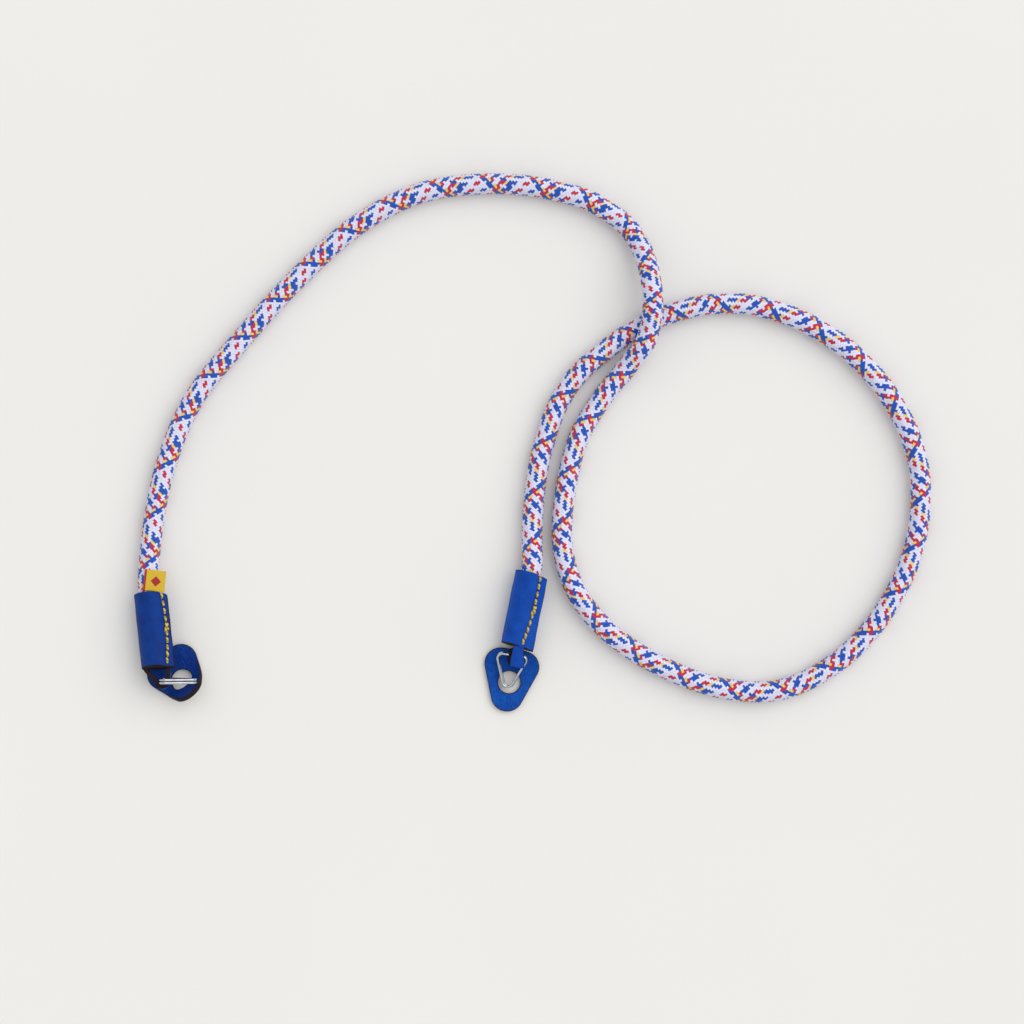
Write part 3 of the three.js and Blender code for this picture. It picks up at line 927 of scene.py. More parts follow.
@dataclass
class Rope:
    """The braided rope, from inside one sleeve to inside the other."""

    radius: float = ROPE_RADIUS
    carriers: int = CARRIERS
    relief: float = 0.42
    crown: float = -0.02
    hidden: float = 24.5
    lead: float = 4.0
    mark_strand: float = 2.7
    mark_turn: float = 9.0
    # Millimetres along the rope, repeats counted up to there, and strands turned round.
    # They were read one by one, but the first and last only carry the others on into the sleeves.
    marks: tuple[LayMark, ...] = (
        LayMark(0, -2.7, 1.2), LayMark(53, 0, 1.1), LayMark(151, 5, 0.7), LayMark(249, 10, 0.4),
        LayMark(307, 13, -0.3), LayMark(341, 15, 0.9), LayMark(356, 16, 1.4), LayMark(375, 17, 2.4),
        LayMark(418, 19, 2.1), LayMark(500, 23, 1.8), LayMark(604, 28, 2.6), LayMark(702, 33, 3.3),
        LayMark(784, 37, 3.2), LayMark(857, 41, 3.0), LayMark(916, 44, 2.4), LayMark(956, 46, 2.2),
    )
    # Millimetres along X and Y, and rope diameters above the table.
    route: tuple[Triple, ...] = (
        (-73.1, 47.3, 0.02), (-68.0, 70.5, 0.005), (-57.5, 95.0, 0), (-39.0, 118.2, 0),
        (-17.1, 142.2, 0), (6.5, 163.3, 0), (31.3, 176.0, 0), (56.5, 179.7, 0), (80.6, 177.9, 0.01),
        (102.2, 170.9, 0.05), (116.4, 158.0, 0.17), (122.6, 134.5, 1.03), (120.2, 118.4, 0.87),
        (113.3, 108.4, 0.32), (102.6, 95.0, 0.04), (92.8, 77.2, 0.005), (87.3, 39.8, 0),
        (93.0, 19.3, 0), (106.2, 3.2, 0), (127.5, -10.4, 0), (151.1, -18.6, 0), (173.6, -18.9, 0),
        (196.0, -7.6, 0), (214.1, 12.2, 0), (226.2, 39.4, 0), (226.9, 71.3, 0), (213.0, 100.5, 0),
        (188.9, 122.0, 0), (159.0, 132.5, 0), (130.6, 129.1, 0), (107.0, 116.4, 0), (89.3, 99.3, 0),
        (79.3, 74.4, 0.005), (75.8, 49.6, 0.05),
    )

    def stations(self) -> np.ndarray:
        """Give the points that the rope's middle passes through.

        Returns:
            The points in millimetres, one row each.
        """
        ahead = (self.hidden, 0.0, -self.lead)
        left = [SLEEVE_FRAMES[Side.LEFT] @ Vector((step, 0, 0)) for step in ahead]
        right = [SLEEVE_FRAMES[Side.RIGHT] @ Vector((step, 0, 0)) for step in reversed(ahead)]
        free = [(x, y, self.radius + lift * 2 * self.radius) for x, y, lift in self.route]
        return np.array([*map(tuple, left), *free, *map(tuple, right)])

    def middle(self, per_span: int = 160) -> np.ndarray:
        """Run a smooth curve through the stations.

        Args:
            per_span: Samples between two stations.

        Returns:
            Points of the curve in millimetres.
        """
        knots = self.stations()
        knots = np.vstack([2 * knots[0] - knots[1], knots, 2 * knots[-1] - knots[-2]])
        share = np.linspace(0, 1, per_span, endpoint=False)[:, None]
        curve = []
        for before, start, stop, after in zip(knots, knots[1:], knots[2:], knots[3:]):
            spans = ((before, start), (start, stop), (stop, after))
            back, own, ahead = (math.sqrt(np.linalg.norm(far - near)) for near, far in spans)
            out = (start - before) / back - (stop - before) / (back + own) + (stop - start) / own
            into = (stop - start) / own - (after - start) / (own + ahead) + (after - stop) / ahead
            out, into = out * own, into * own
            bend = 2 * start - 2 * stop + out + into
            slope = -3 * start + 3 * stop - 2 * out - into
            curve.append(start + out * share + slope * share**2 + bend * share**3)
        return np.vstack([*curve, knots[-2][None]])

    def build(self, finishes: Finishes) -> bpy.types.Object:
        """Make the braided tube, ring by ring, each yarn raised over the next.

        Args:
            finishes: The strap's materials.

        Returns:
            The rope.
        """
        middle = self.middle()
        arc = arc_lengths(middle)
        marked = [mark.distance for mark in self.marks]
        lay = self.mark_strand + self.carriers * np.interp(arc, marked, [mark.repeats for mark in self.marks])
        lay += self.carriers * math.ceil(-lay[0] / self.carriers)
        steps = np.arange(math.ceil(4 * lay[0]), math.floor(4 * lay[-1]) + 1)
        places = np.interp(steps / 4, lay, arc)
        turned = np.interp(places, marked, [mark.turned for mark in self.marks])[:, None]
        centre = np.stack([np.interp(places, arc, middle[:, axis]) for axis in range(3)], axis=1)
        forward = np.gradient(centre, axis=0)
        forward /= np.linalg.norm(forward, axis=1)[:, None]
        upward = np.array([0.0, 0.0, 1.0]) - forward * forward[:, 2:3]
        upward /= np.linalg.norm(upward, axis=1)[:, None]
        leftward = np.cross(upward, forward)
        columns = 2 * self.carriers
        around = 2 * np.arange(columns)[None, :] + (steps % 2)[:, None]
        raised = self._relief(steps[:, None], around)
        radius = self.radius - self.relief + self.crown + self.relief * raised
        angle = (around / 4 - turned) * (2 * math.pi / self.carriers) + math.radians(self.mark_turn)
        points = (
            centre[:, None]
            + (radius * np.cos(angle))[..., None] * upward[:, None]
            + (radius * np.sin(angle))[..., None] * leftward[:, None]
        )
        points[..., 2] = np.maximum(points[..., 2], 0.02)
        caps = [centre[0], centre[-1]]
        vertices = np.vstack([points.reshape(-1, 3), caps]) * MM
        faces, corners = self._lattice(steps, columns)
        mesh = bpy.data.meshes.new("braided_rope_strands")
        mesh.from_pydata(vertices.tolist(), [], faces)
        layer = mesh.uv_layers.new(name="lay")
        layer.data.foreach_set("uv", np.array(corners, dtype=np.float32).ravel())
        mesh.update()
        rope = bpy.data.objects.new("braided_rope_strands", mesh)
        bpy.context.scene.collection.objects.link(rope)
        rope.data.materials.append(finishes.braid)
        mesh.polygons.foreach_set("use_smooth", [True] * len(mesh.polygons))
        Bench.finish(rope, ["braided_rope"], "rope")
        return rope

    @staticmethod
    def _relief(step: np.ndarray, around: np.ndarray) -> np.ndarray:
        """Tell how far each lattice point is raised.

        Args:
            step: Ring numbers, in quarter units along the rope.
            around: Places round the rope, in quarter units.

        Returns:
            1 on the crown of a yarn and 0 between yarns.
        """
        first = (step - around) / 2
        second = (step + around) / 2
        gap = (second - first) / 2
        lengthwise = (gap + 2) % 4 - 2
        leftward = np.where((first % 2 == 0) & (np.abs(lengthwise) < 1), 1 - 0.35 * lengthwise**2, 0)
        other = (4 - gap) % 4 - 2
        rightward = np.where((second % 2 == 1) & (np.abs(other) < 1), 1 - 0.35 * other**2, 0)
        return np.maximum(leftward, rightward)

    def _lattice(self, steps: np.ndarray, columns: int) -> tuple[list, list]:
        """Make the diamond faces and their places on the lay.

        Args:
            steps: Ring numbers, in quarter units along the rope.
            columns: Points in a ring.

        Returns:
            The faces, and the UV pairs of their corners.
        """
        faces, corners = [], []
        whole = 4 * self.carriers

        def corner(ring: int, place: int) -> int:
            """Number of the point at a ring and a place round it."""
            return ring * columns + (place % whole) // 2

        def pair(ring: int, place: int) -> tuple[float, float]:
            """Share round the rope, and units along it."""
            return (place / whole, (steps[0] + ring) / whole)

        count = len(steps)
        for ring in range(count - 2):
            start = int(steps[ring]) % 2
            for place in range(start, whole + start, 2):
                spots = ((ring, place), (ring + 1, place - 1), (ring + 2, place), (ring + 1, place + 1))
                faces.append([corner(*spot) for spot in spots][::-1])
                corners.extend([pair(*spot) for spot in spots][::-1])
        for ring, centre, turned in ((0, count * columns, False), (count - 2, count * columns + 1, True)):
            start = int(steps[ring]) % 2
            for place in range(start, whole + start, 2):
                top = (ring + 1, place + 1)
                for near, far in (((ring, place), top), (top, (ring, place + 2))):
                    ends = (far, near) if turned else (near, far)
                    faces.append([corner(*ends[0]), corner(*ends[1]), centre])
                    corners.extend([pair(*ends[0]), pair(*ends[1]), pair(ring, place)])
        return faces, corners


def smooth_line(knots: list[tuple[float, float]], steps: int) -> list[Vector]:
    """Run an even curve through points of a plane.

    Args:
        knots: The points.
        steps: How many pieces the curve has.

    Returns:
        Points of the curve.
    """
    spots = [Vector(knot) for knot in knots]
    line = []
    for step in range(steps + 1):
        place = step / steps * (len(spots) - 1)
        index = min(int(place), len(spots) - 2)
        t = place - index
        before = spots[max(index - 1, 0)]
        start, stop = spots[index], spots[index + 1]
        after = spots[min(index + 2, len(spots) - 1)]
        out, into = (stop - before) / 2, (after - start) / 2
        line.append(
            (2 * t**3 - 3 * t**2 + 1) * start + (t**3 - 2 * t**2 + t) * out
            + (3 * t**2 - 2 * t**3) * stop + (t**3 - t**2) * into
        )
    return line


@dataclass
class Sleeve:
    """A leather sleeve sewn round a rope end, with the loop that it runs on into."""

    side: Side
    fold_ahead: float
    fold_up: float
    loop_side: float
    upper_mouth: float
    lower_mouth: float
    stitch_from: float
    stitch_to: float
    skew: float
    skew_about: float
    length: float = SLEEVE_LENGTH
    radius: float = SLEEVE_RADIUS
    bore: float = SLEEVE_BORE
    lip: float = 0.85
    mouth_arch: float = 1.3
    end_arch: float = 0.9
    around: int = 84
    slices: int = 72
    loop_width: float = 4.6
    sewn: float = 4.0
    stitches: int = 10
    pitch: float = 2.82
    first_stitch: float = 1.15
    knot_at: int = 4
    stitch_bow: float = 0.9
    stitch_half: Triple = (1.24, 0.48, 0.46)
    stitch_sunk: float = 0.22
    # Extra stitches of the knot: how far on, how far aside, degrees turned, and size.
    knot: tuple[tuple[float, float, float, float], ...] = (
        (0.9, 0.35, 26, 0.85), (-0.5, 0.4, -30, 0.6), (1.5, -0.35, -18, 0.7),
    )
    hole_half: tuple[float, float] = (0.36, 0.42)
    mouth_reach: float = 9.0
    end_reach: float = 7.0
    loop_strips: int = 8
    loop_steps: int = 72

    def build(self, finishes: Finishes) -> None:
        """Make the sleeve, its loop and its stitches.

        Args:
            finishes: The strap's materials.
        """
        where = SLEEVE_FRAMES[self.side]
        tube = self._tube(finishes)
        loop = self._loop(finishes)
        for piece in (tube, loop):
            Bench.place(piece, where)
        Bench.join([tube, loop])
        Bench.finish(tube, [f"{self.side.value}_sleeve"], "leather")
        thread = self._thread(finishes)
        Bench.place(thread, where)
        Bench.finish(thread, [], "tag")

    def _section(self, angle: float) -> tuple[float, float]:
        """Give a point of the sleeve's outline: round, with a sewn lip on the +X side.

        Args:
            angle: The angle round the rope, in radians, from the lip.

        Returns:
            The point across and up.
        """
        edge = (self.radius + self.lip, SLEEVE_WALL)
        edge_angle = math.atan2(edge[1], edge[0])
        tangent = edge_angle + math.acos(self.radius / math.hypot(*edge))
        turn = math.atan2(math.sin(angle), math.cos(angle))
        if abs(turn) >= tangent:
            return (self.radius * math.cos(turn), self.radius * math.sin(turn))
        if abs(turn) <= edge_angle:
            rise = edge[0] * math.tan(turn)
            groove = 0.55 * math.exp(-((rise / 0.35) ** 2))
            return (edge[0] - groove, rise)
        reach = self.radius / math.cos(tangent - abs(turn))
        return (reach * math.cos(turn), reach * math.sin(turn))

    def _top(self, across: float) -> tuple[float, float]:
        """Find the sleeve's upper face over a place across it.

        Args:
            across: Distance towards the lip's side.

        Returns:
            The face's height over the rope's middle, and how far it leans, in radians.
        """
        low, high = 0.15, math.pi
        for _ in range(30):
            middle = (low + high) / 2
            low, high = (middle, high) if self._section(middle)[0] > across else (low, middle)
        near, far = self._section(low - 0.02), self._section(low + 0.02)
        return self._section(low)[1], math.atan2(far[1] - near[1], near[0] - far[0])

    def _cut(self, along: float, across: float, up: float) -> Vector:
        """Slant the sleeve and arch both its ends, as the leather was cut and pulled.

        Args:
            along: Distance from the mouth.
            across: Distance towards the lip's side.
            up: Height over the rope's middle.

        Returns:
            The point's new place.
        """
        reach = math.hypot(across, up)
        outer = min(max((reach - self.bore) / (self.radius - self.bore), 0), 1)
        mouth = max(1 - along / self.mouth_reach, 0)
        end = self.end_arch * max(1 - (self.length - along) / self.end_reach, 0)
        arch = self.mouth_arch * outer * max(up / self.radius, 0) * (mouth + end)
        return Vector((along + self.skew * (across - self.skew_about) - arch, across, up))

    def _stitch_across(self, along: float) -> float:
        """How far to the lip's side the stitch line lies at a place along the sleeve."""
        share = along / self.length
        bow = 4 * self.stitch_bow * share * (1 - share)
        return self.stitch_from + (self.stitch_to - self.stitch_from) * share + bow

    def _tube(self, finishes: Finishes) -> bpy.types.Object:
        """Make the rolled leather: a ring of leather drawn out along the rope.

        Args:
            finishes: The strap's materials.

        Returns:
            The tube, in the sleeve's own frame.
        """
        Bench.clear()
        bpy.ops.mesh.primitive_circle_add(vertices=self.around, radius=self.radius, fill_type="NOTHING")
        tube = Bench.take(f"{self.side.value}_sleeve_leather")
        bpy.ops.object.mode_set(mode="EDIT")
        bpy.ops.mesh.primitive_circle_add(vertices=self.around, radius=self.bore, fill_type="NOTHING")
        bpy.ops.mesh.select_all(action="SELECT")
        bpy.ops.mesh.bridge_edge_loops()
        bpy.ops.mesh.select_all(action="SELECT")
        for _ in range(self.slices):
            bpy.ops.mesh.extrude_region_move(
                TRANSFORM_OT_translate={"value": (0, 0, self.length / self.slices)}
            )
        bpy.ops.mesh.select_all(action="SELECT")
        bpy.ops.mesh.normals_make_consistent(inside=False)
        bpy.ops.object.mode_set(mode="OBJECT")
        middle = (self.radius + self.bore) / 2
        for vertex in tube.data.vertices:
            across, up, along = vertex.co
            if math.hypot(across, up) > middle:
                across, up = self._section(math.atan2(up, across))
                sag = self._wear(across, up, along)
                across, up = across * (1 - sag), up * (1 - sag)
            vertex.co = (along, across, up)
        holes = [self.first_stitch + (n + 0.5) * self.pitch for n in range(self.stitches - 1)]
        Bench.dress(tube, finishes.hides[self.side], finishes.edge)
        for face in tube.data.polygons:
            spot = face.center
            reach = math.hypot(spot.y, spot.z)
            cut = abs(face.normal.x) > 0.7 or reach < middle
            lip = spot.y > self.radius + 0.1 and abs(spot.z) < SLEEVE_WALL
            place = min(holes, key=lambda hole: abs(hole - spot.x))
            aside = spot.y - self._stitch_across(place)
            off = math.hypot((spot.x - place) / self.hole_half[0], aside / self.hole_half[1])
            # Painted shade: the top face round each stitch hole takes the dark cut-edge leather in place of a
            # real hole's dark inside.
            hole_shade = spot.z > 0 and reach > middle and off < 1
            face.material_index = 1 if cut or lip or hole_shade else 0
        for vertex in tube.data.vertices:
            vertex.co = self._cut(*vertex.co)
        Bench.outward(tube)
        Bench.round_edges(tube, 0.22, slot=1)
        Bench.smooth(tube)
        return tube

    def _wear(self, across: float, up: float, along: float) -> float:
        """How far the leather sinks towards the rope, as a share of its distance.

        Args:
            across: Distance towards the lip's side.
            up: Height over the rope's middle.
            along: Distance from the rope's mouth.

        Returns:
            The share.
        """
        pull = math.exp(-(((across - self._stitch_across(along)) / 0.9) ** 2)) if up > 0 else 0.0
        beat = 0.7 - 0.3 * math.cos(2 * math.pi * (along - self.first_stitch) / self.pitch)
        rumple = noise.noise(Vector((across * 0.35, up * 0.35, along * 0.16)) + Vector((self.length, 3, 7)))
        return (0.4 * pull * beat + 0.16 * rumple * (1.0 if up > -2 else 0.0) + 0.05) / self.radius

    def _loop(self, finishes: Finishes) -> bpy.types.Object:
        """Make the leather band that folds round the ring's bar.

        Args:
            finishes: The strap's materials.

        Returns:
            The loop, in the sleeve's own frame.
        """
        seat = self.bore + 0.2
        start = self.length - self.sewn
        middle = LOOP_BORE + LOOP_THICKNESS / 2
        knots = [(start, seat), (self.length, self.upper_mouth)]
        for angle in (90, 45, 0, -45, -90):
            knots.append((
                self.length + self.fold_ahead + middle * math.cos(math.radians(angle)),
                self.fold_up + middle * math.sin(math.radians(angle)),
            ))
        knots += [(self.length, self.lower_mouth), (start, -seat)]
        line = smooth_line(knots, self.loop_steps)
        Bench.clear()
        bpy.ops.mesh.primitive_grid_add(
            x_subdivisions=len(line) - 1, y_subdivisions=self.loop_strips, size=1
        )
        loop = Bench.take(f"{self.side.value}_loop_leather")
        for vertex in loop.data.vertices:
            index = round((vertex.co.x + 0.5) * (len(line) - 1))
            width = vertex.co.y * self.loop_width
            spot = line[index]
            if self.side is Side.RIGHT:
                past = max(spot.x - self.length, 0)
                crown = 0.3 * math.cos(vertex.co.y * math.pi) * (1 if spot.y > self.fold_up else -0.2)
                under = 0.5 * min(self.fold_up - spot.y, 2.4) if spot.y < self.fold_up and past > 0 else 0
                width *= 0.85 + 0.35 * min(past / 4, 1)
                vertex.co = (spot.x, width + self.loop_side + 0.14 * past - under, spot.y + crown)
            else:
                vertex.co = (spot.x, spot.y, -width)
        Bench.dress(loop, finishes.hides[self.side], finishes.flesh, finishes.edge)
        wall = loop.modifiers.new("wall", "SOLIDIFY")
        wall.thickness = LOOP_THICKNESS
        wall.offset = 0
        wall.material_offset = 1
        wall.material_offset_rim = 2
        Bench.apply(loop)
        Bench.round_edges(loop, 0.3, slot=2)
        Bench.smooth(loop)
        return loop

    def _thread(self, finishes: Finishes) -> bpy.types.Object:
        """Make the row of stitches, with a knot of extra ones half way.

        Args:
            finishes: The strap's materials.

        Returns:
            The stitches as one piece, in the sleeve's own frame.
        """
        pieces = []
        for number in range(self.stitches):
            along = self.first_stitch + number * self.pitch
            if along > self.length - 0.9:
                break
            lean = 5 + 7 * noise.noise(Vector((number * 1.7, 0.3, self.pitch)))
            pieces.append(self._stitch(along, 0, lean, 1.0))
            if number == self.knot_at:
                for ahead, aside, twist, size in self.knot:
                    pieces.append(self._stitch(along + ahead, aside, lean + twist, size))
        Bench.join(pieces)
        thread = Bench.take(f"{self.side.value}_stitches")
        thread.data.materials.append(finishes.thread)
        Bench.smooth(thread, 80)
        return thread

    def _stitch(self, along: float, aside: float, lean: float, size: float) -> bpy.types.Object:
        """Make one stitch: a plump thread whose ends go down through the leather.

        Args:
            along: Place of its middle from the rope's mouth.
            aside: How far it lies off the stitch line.
            lean: How far it is turned off the line, in degrees.
            size: Its size against the others.

        Returns:
            The stitch.
        """
        Bench.clear()
        bpy.ops.mesh.primitive_uv_sphere_add(segments=14, ring_count=9, radius=1)
        stitch = Bench.take("stitch")
        across = self._stitch_across(along) + aside
        height, tilt = self._top(across)
        place = (
            Matrix.Translation(self._cut(along, across, height - self.stitch_sunk))
            @ Matrix.Rotation(-tilt, 4, "X")
            @ Matrix.Rotation(math.radians(lean), 4, "Z")
        )
        long, wide, deep = self.stitch_half
        for vertex in stitch.data.vertices:
            x, y, z = vertex.co
            full = math.sqrt(1 + 0.8 * x * x)
            sink = 0.34 * x**4
            vertex.co = place @ Vector((long * size * x, wide * full * y, deep * full * z + 0.2 - sink))
        return stitch


@dataclass
class SplitRing:
    """A rounded triangular ring of nearly two turns of steel wire."""

    side: Side
    where: Matrix
    upright: bool
    aside: float
    wire: float = RING_WIRE
    width: float = RING_WIDTH
    length: float = 14.2
    corner: float = 1.9
    tip: float = 2.0
    turns: float = 1.92
    start: float = 0.04
    step: tuple[float, float] = (0.94, 1.06)
    per_turn: int = 150
    per_arc: int = 40

    def outline(self) -> np.ndarray:
        """Draw the ring's outline once round, from the middle of its bar.

        Returns:
            Points of the outline.
        """
        half = (self.width - self.wire) / 2
        back = np.array([self.corner, half - self.corner])
        front = np.array([self.length - self.wire - self.tip, 0.0])
        lean = side_lean(back, front, self.corner, self.tip)
        points = [(0.0, 0.0)]
        points += arc_points(back * (1, -1), self.corner, math.pi, 2 * math.pi - lean, self.per_arc)
        points += arc_points(front, self.tip, -lean, lean, self.per_arc)
        points += arc_points(back, self.corner, lean, math.pi, self.per_arc)
        points.append((0.0, 0.0))
        return np.array(points)

    def build(self, finishes: Finishes) -> bpy.types.Object:
        """Sweep the wire along its coil.

        Args:
            finishes: The strap's materials.

        Returns:
            The ring.
        """
        outline = self.outline()
        arc = arc_lengths(outline)
        turns = self.start + np.linspace(0, 1, int(self.turns * self.per_turn)) * self.turns
        flat = np.stack([np.interp((turns % 1) * arc[-1], arc, outline[:, axis]) for axis in (0, 1)], axis=1)
        share = np.clip((turns - self.step[0]) / (self.step[1] - self.step[0]), 0, 1)
        rise = share * share * (3 - 2 * share)
        layer = (rise - 0.5) * COIL_PITCH
        flat[:, 1] += self.aside * rise * np.clip(flat[:, 0] / self.length, 0, 1)
        data = bpy.data.curves.new(f"{self.side.value}_ring_wire", "CURVE")
        data.dimensions = "3D"
        data.bevel_depth = self.wire / 2
        data.bevel_resolution = 4
        data.use_fill_caps = True
        spline = data.splines.new("POLY")
        spline.points.add(len(turns) - 1)
        for point, (x, y), z in zip(spline.points, flat, layer):
            point.co = (x, y, z, 1)
        ring = bpy.data.objects.new(f"{self.side.value}_ring_wire", data)
        bpy.context.scene.collection.objects.link(ring)
        Bench.pick(ring)
        bpy.ops.object.convert(target="MESH")
        ring = bpy.context.object
        ring.data.name = ring.name
        stand = Matrix.Rotation(math.pi / 2, 4, "X") if self.upright else Matrix.Identity(4)
        Bench.outward(ring)
        Bench.round_edges(ring, 0.12)
        Bench.place(ring, self.where @ stand)
        ring.data.materials.clear()
        ring.data.materials.append(finishes.steel)
        Bench.smooth(ring)
        return Bench.finish(ring, [f"{self.side.value}_split_ring"], "steel")


@dataclass
class LugPad:
    """A rounded triangular leather pad with a hole, flat or bent up at its tip."""

    side: Side
    heading: float
    bent: bool
    thickness: float = PAD_THICKNESS
    width: float = 21.7
    corner: float = 6.2
    tip: float = 6.4
    hole: float = 8.8
    hole_to_tip: float = 11.6
    hole_to_back: float = 13.0
    bend_radius: float = 7.0
    bend_angle: float = 60.0
    hole_to_bend: float = 3.0
    rim_points: int = 96
    per_arc: int = 60
    bands: int = 12
    edge_round: float = 0.35

    def rim(self) -> list[Vector]:
        """Draw the pad's outline about its hole, evenly spaced.

        Returns:
            Points of the outline.
        """
        back = np.array([self.corner - self.hole_to_back, self.width / 2 - self.corner])
        front = np.array([self.hole_to_tip - self.tip, 0.0])
        lean = side_lean(back, front, self.corner, self.tip)
        points = arc_points(front, self.tip, -lean, lean, self.per_arc)
        points += arc_points(back, self.corner, lean, math.pi, self.per_arc)
        points += arc_points(back * (1, -1), self.corner, math.pi, 2 * math.pi - lean, self.per_arc)
        points = np.array([*points, points[0]])
        arc = arc_lengths(points)
        places = np.linspace(0, arc[-1], self.rim_points, endpoint=False)
        return [Vector((np.interp(p, arc, points[:, 0]), np.interp(p, arc, points[:, 1]))) for p in places]

    def bend(self, along: float, up: float) -> tuple[float, float]:
        """Move a point of the flat pad to where it is on the bent one.

        Args:
            along: Distance from the hole towards the tip.
            up: Height over the underside.

        Returns:
            The new distance and height.
        """
        past = along + self.hole_to_bend
        angle = min(max(past / self.bend_radius, 0), math.radians(self.bend_angle))
        straight = past - angle * self.bend_radius
        rise = up - self.thickness / 2
        return (
            straight * math.cos(angle) + (self.bend_radius - rise) * math.sin(angle),
            self.thickness / 2 + self.bend_radius * (1 - math.cos(angle))
            + straight * math.sin(angle) + rise * math.cos(angle),
        )

    def build(self, finishes: Finishes) -> bpy.types.Object:
        """Make the pad from its rim and hole, drawn up to its thickness.

        Args:
            finishes: The strap's materials.

        Returns:
            The pad.
        """
        Bench.clear()
        bpy.ops.mesh.primitive_circle_add(vertices=self.rim_points, radius=20, fill_type="NOTHING")
        pad = Bench.take(f"{self.side.value}_pad_leather")
        rim = self.rim()
        for vertex, spot in zip(pad.data.vertices, rim):
            vertex.co = (spot.x, spot.y, 0)
        bpy.ops.object.mode_set(mode="EDIT")
        bpy.ops.mesh.primitive_circle_add(vertices=self.rim_points, radius=self.hole / 2, fill_type="NOTHING")
        bpy.ops.object.mode_set(mode="OBJECT")
        for vertex, spot in zip(pad.data.vertices[self.rim_points:], rim):
            flat = spot.normalized() * (self.hole / 2)
            vertex.co = (flat.x, flat.y, 0)
        bpy.ops.object.mode_set(mode="EDIT")
        bpy.ops.mesh.select_all(action="SELECT")
        bpy.ops.mesh.bridge_edge_loops(number_cuts=self.bands, interpolation="LINEAR")
        bpy.ops.mesh.select_all(action="SELECT")
        bpy.ops.mesh.extrude_region_move(TRANSFORM_OT_translate={"value": (0, 0, self.thickness)})
        bpy.ops.object.mode_set(mode="OBJECT")
        Bench.outward(pad)
        Bench.dress(pad, finishes.pad_hides[self.side], finishes.flesh, finishes.edge)
        for face in pad.data.polygons:
            face.material_index = 0 if face.normal.z > 0.5 else 1 if face.normal.z < -0.5 else 2
        Bench.round_edges(pad, self.edge_round, 3, slot=2)
        base = self.bend(0, self.thickness / 2)[0]
        for vertex in pad.data.vertices:
            along, across, up = vertex.co
            if up > self.thickness / 2:
                up += 0.10 * noise.noise(Vector((along * 0.3, across * 0.3, 5.0)))
            if self.bent:
                along, up = self.bend(along, up)
                along -= base
            vertex.co = (along, across, up)
        hole = pad_hole(self.side)
        Bench.place(pad, end_frame(hole.x, hole.y, 0, self.heading))
        Bench.smooth(pad)
        return Bench.finish(pad, [f"{self.side.value}_lug_pad"], "leather")


@dataclass
class SideTag:
    """The folded woven tag that lies on the rope at the left sleeve's mouth."""

    width: float = 8.4
    length: float = 8.3
    thickness: float = 1.0
    ply: float = 0.42
    strips: int = 24
    offset: float = 2.4
    roll: float = 15.0
    turned: float = -12.0
    drawn_out: float = 0.3

    def build(self, finishes: Finishes) -> bpy.types.Object:
        """Fold a thin band on itself and lay it on the rope.

        Args:
            finishes: The strap's materials.

        Returns:
            The tag.
        """
        half = (self.thickness - self.ply) / 2
        end = half + self.ply / 2 - SEAT_GAP - self.length
        line = [Vector((-SEAT_GAP, half)), Vector((-SEAT_GAP - 2, half)), Vector((-SEAT_GAP - 4, half))]
        line += [Vector((end + 1.5, half + 0.04))]
        for angle in range(90, 271, 20):
            fold = math.radians(angle)
            line.append(Vector((end + half * math.cos(fold), half * math.sin(fold))))
        line += [Vector((end + 1.5, -half)), Vector((-SEAT_GAP - 4, -half)), Vector((-SEAT_GAP, -half))]
        Bench.clear()
        bpy.ops.mesh.primitive_grid_add(x_subdivisions=len(line) - 1, y_subdivisions=self.strips, size=1)
        tag = Bench.take("side_tag_weave")
        uv = tag.data.uv_layers[0]
        uv.name = "cloth"
        roll = math.radians(self.roll)
        slide = self.offset / math.cos(roll) - ROPE_RADIUS * math.sin(roll)
        lift = ROPE_RADIUS + SEAT_GAP + self.thickness / 2
        for loop, pair in zip(tag.data.loops, uv.data):
            spot = tag.data.vertices[loop.vertex_index].co
            along = -line[round((spot.x + 0.5) * (len(line) - 1))].x
            pair.uv = (spot.y + 0.5, along / self.length)
        middle = Matrix.Translation((-self.length / 2 - self.drawn_out, slide + 0.4, 0))
        turn = Matrix.Rotation(-roll, 4, "X") @ middle @ Matrix.Rotation(math.radians(self.turned), 4, "Z")
        for vertex in tag.data.vertices:
            spot = line[round((vertex.co.x + 0.5) * (len(line) - 1))]
            across = vertex.co.y * self.width
            vertex.co = turn @ Vector((spot.x + self.length / 2, across, spot.y + lift))
        tag.data.materials.append(finishes.tag)
        wall = tag.modifiers.new("ply", "SOLIDIFY")
        wall.thickness = self.ply
        wall.offset = 0
        Bench.apply(tag)
        Bench.round_edges(tag, 0.08)
        Bench.place(tag, SLEEVE_FRAMES[Side.LEFT])
        Bench.outward(tag)
        Bench.smooth(tag)
        return Bench.finish(tag, ["side_tag"], "tag")


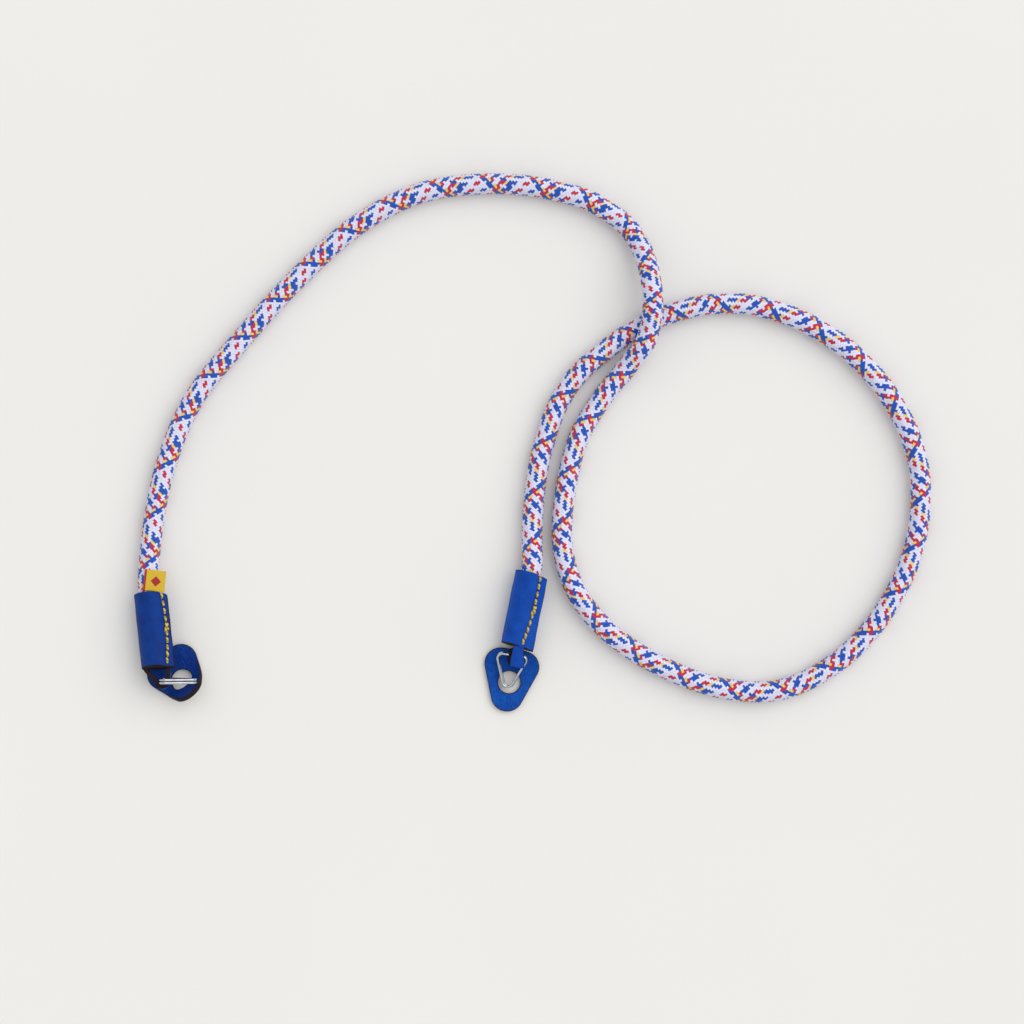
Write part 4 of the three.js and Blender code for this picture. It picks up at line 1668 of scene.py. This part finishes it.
@dataclass
class Studio:
    """A pale table under an even sky and one wide soft light from the right."""

    table_size: float = 8.0
    table_middle: Triple = (0.06, 0.05, 0)
    light_power: float = 1.2
    light_width: float = 62.0
    light_from: Triple = (0.75, 0.42, 1.0)
    sky: Triple = (0.985, 0.99, 1.02)
    sky_power: float = 0.752

    def build(self, finishes: Finishes) -> None:
        """Make the table, the light and the sky.

        Args:
            finishes: The strap's materials.
        """
        Bench.clear()
        bpy.ops.mesh.primitive_plane_add(size=self.table_size, location=self.table_middle)
        table = Bench.take("table")
        table.data.materials.append(finishes.table)
        data = bpy.data.lights.new("soft_light", "SUN")
        data.energy = self.light_power
        data.angle = math.radians(self.light_width)
        lamp = bpy.data.objects.new("soft_light", data)
        lamp.rotation_euler = Vector(self.light_from).to_track_quat("Z", "Y").to_euler()
        bpy.context.scene.collection.objects.link(lamp)
        world = bpy.data.worlds.new("sky")
        bpy.context.scene.world = world
        world.use_nodes = True
        background = world.node_tree.nodes["Background"]
        background.inputs[0].default_value = (*self.sky, 1)
        background.inputs[1].default_value = self.sky_power
        bpy.context.scene.view_settings.view_transform = "Standard"


def main() -> None:
    """Build the strap, piece by piece, and then the room."""
    logging.basicConfig(level=logging.INFO, format="%(message)s")
    Viewpoint().build()
    finishes = Finishes()
    Rope().build(finishes)
    left_sleeve = Sleeve(
        Side.LEFT, fold_ahead=5.4, fold_up=1.5, loop_side=0.0,
        upper_mouth=SLEEVE_BORE, lower_mouth=-SLEEVE_BORE,
        stitch_from=4.9, stitch_to=4.1, skew=0.07, skew_about=-6.0,
    )
    left_sleeve.build(finishes)
    Sleeve(
        Side.RIGHT, fold_ahead=4.0, fold_up=BAR_HEIGHT - SLEEVE_RADIUS, loop_side=1.1,
        upper_mouth=SLEEVE_BORE - 0.4, lower_mouth=PAD_TOP + LOOP_THICKNESS / 2 - SLEEVE_RADIUS + 0.2,
        stitch_from=3.9, stitch_to=1.9, skew=0.1, skew_about=5.5,
    ).build(finishes)
    bar = Vector((SLEEVE_LENGTH + left_sleeve.fold_ahead, left_sleeve.fold_up, 0))
    left_bar = SLEEVE_FRAMES[Side.LEFT] @ bar
    right_bar = SLEEVE_FRAMES[Side.RIGHT] @ Vector((SLEEVE_LENGTH + 2.6, -0.6, 0))
    on_edge = end_frame(left_bar.x, left_bar.y, PAD_TOP + RING_WIDTH / 2, heading=0, rise=10)
    leaning = end_frame(right_bar.x, right_bar.y, BAR_HEIGHT, heading=-98, rise=-14)
    SplitRing(Side.LEFT, on_edge, upright=True, aside=0.0).build(finishes)
    SplitRing(Side.RIGHT, leaning, upright=False, aside=-0.6).build(finishes)
    LugPad(Side.LEFT, heading=-51.7, bent=True).build(finishes)
    LugPad(Side.RIGHT, heading=-99, bent=False).build(finishes)
    SideTag().build(finishes)
    Studio().build(finishes)


if __name__ == "__main__":
    main()
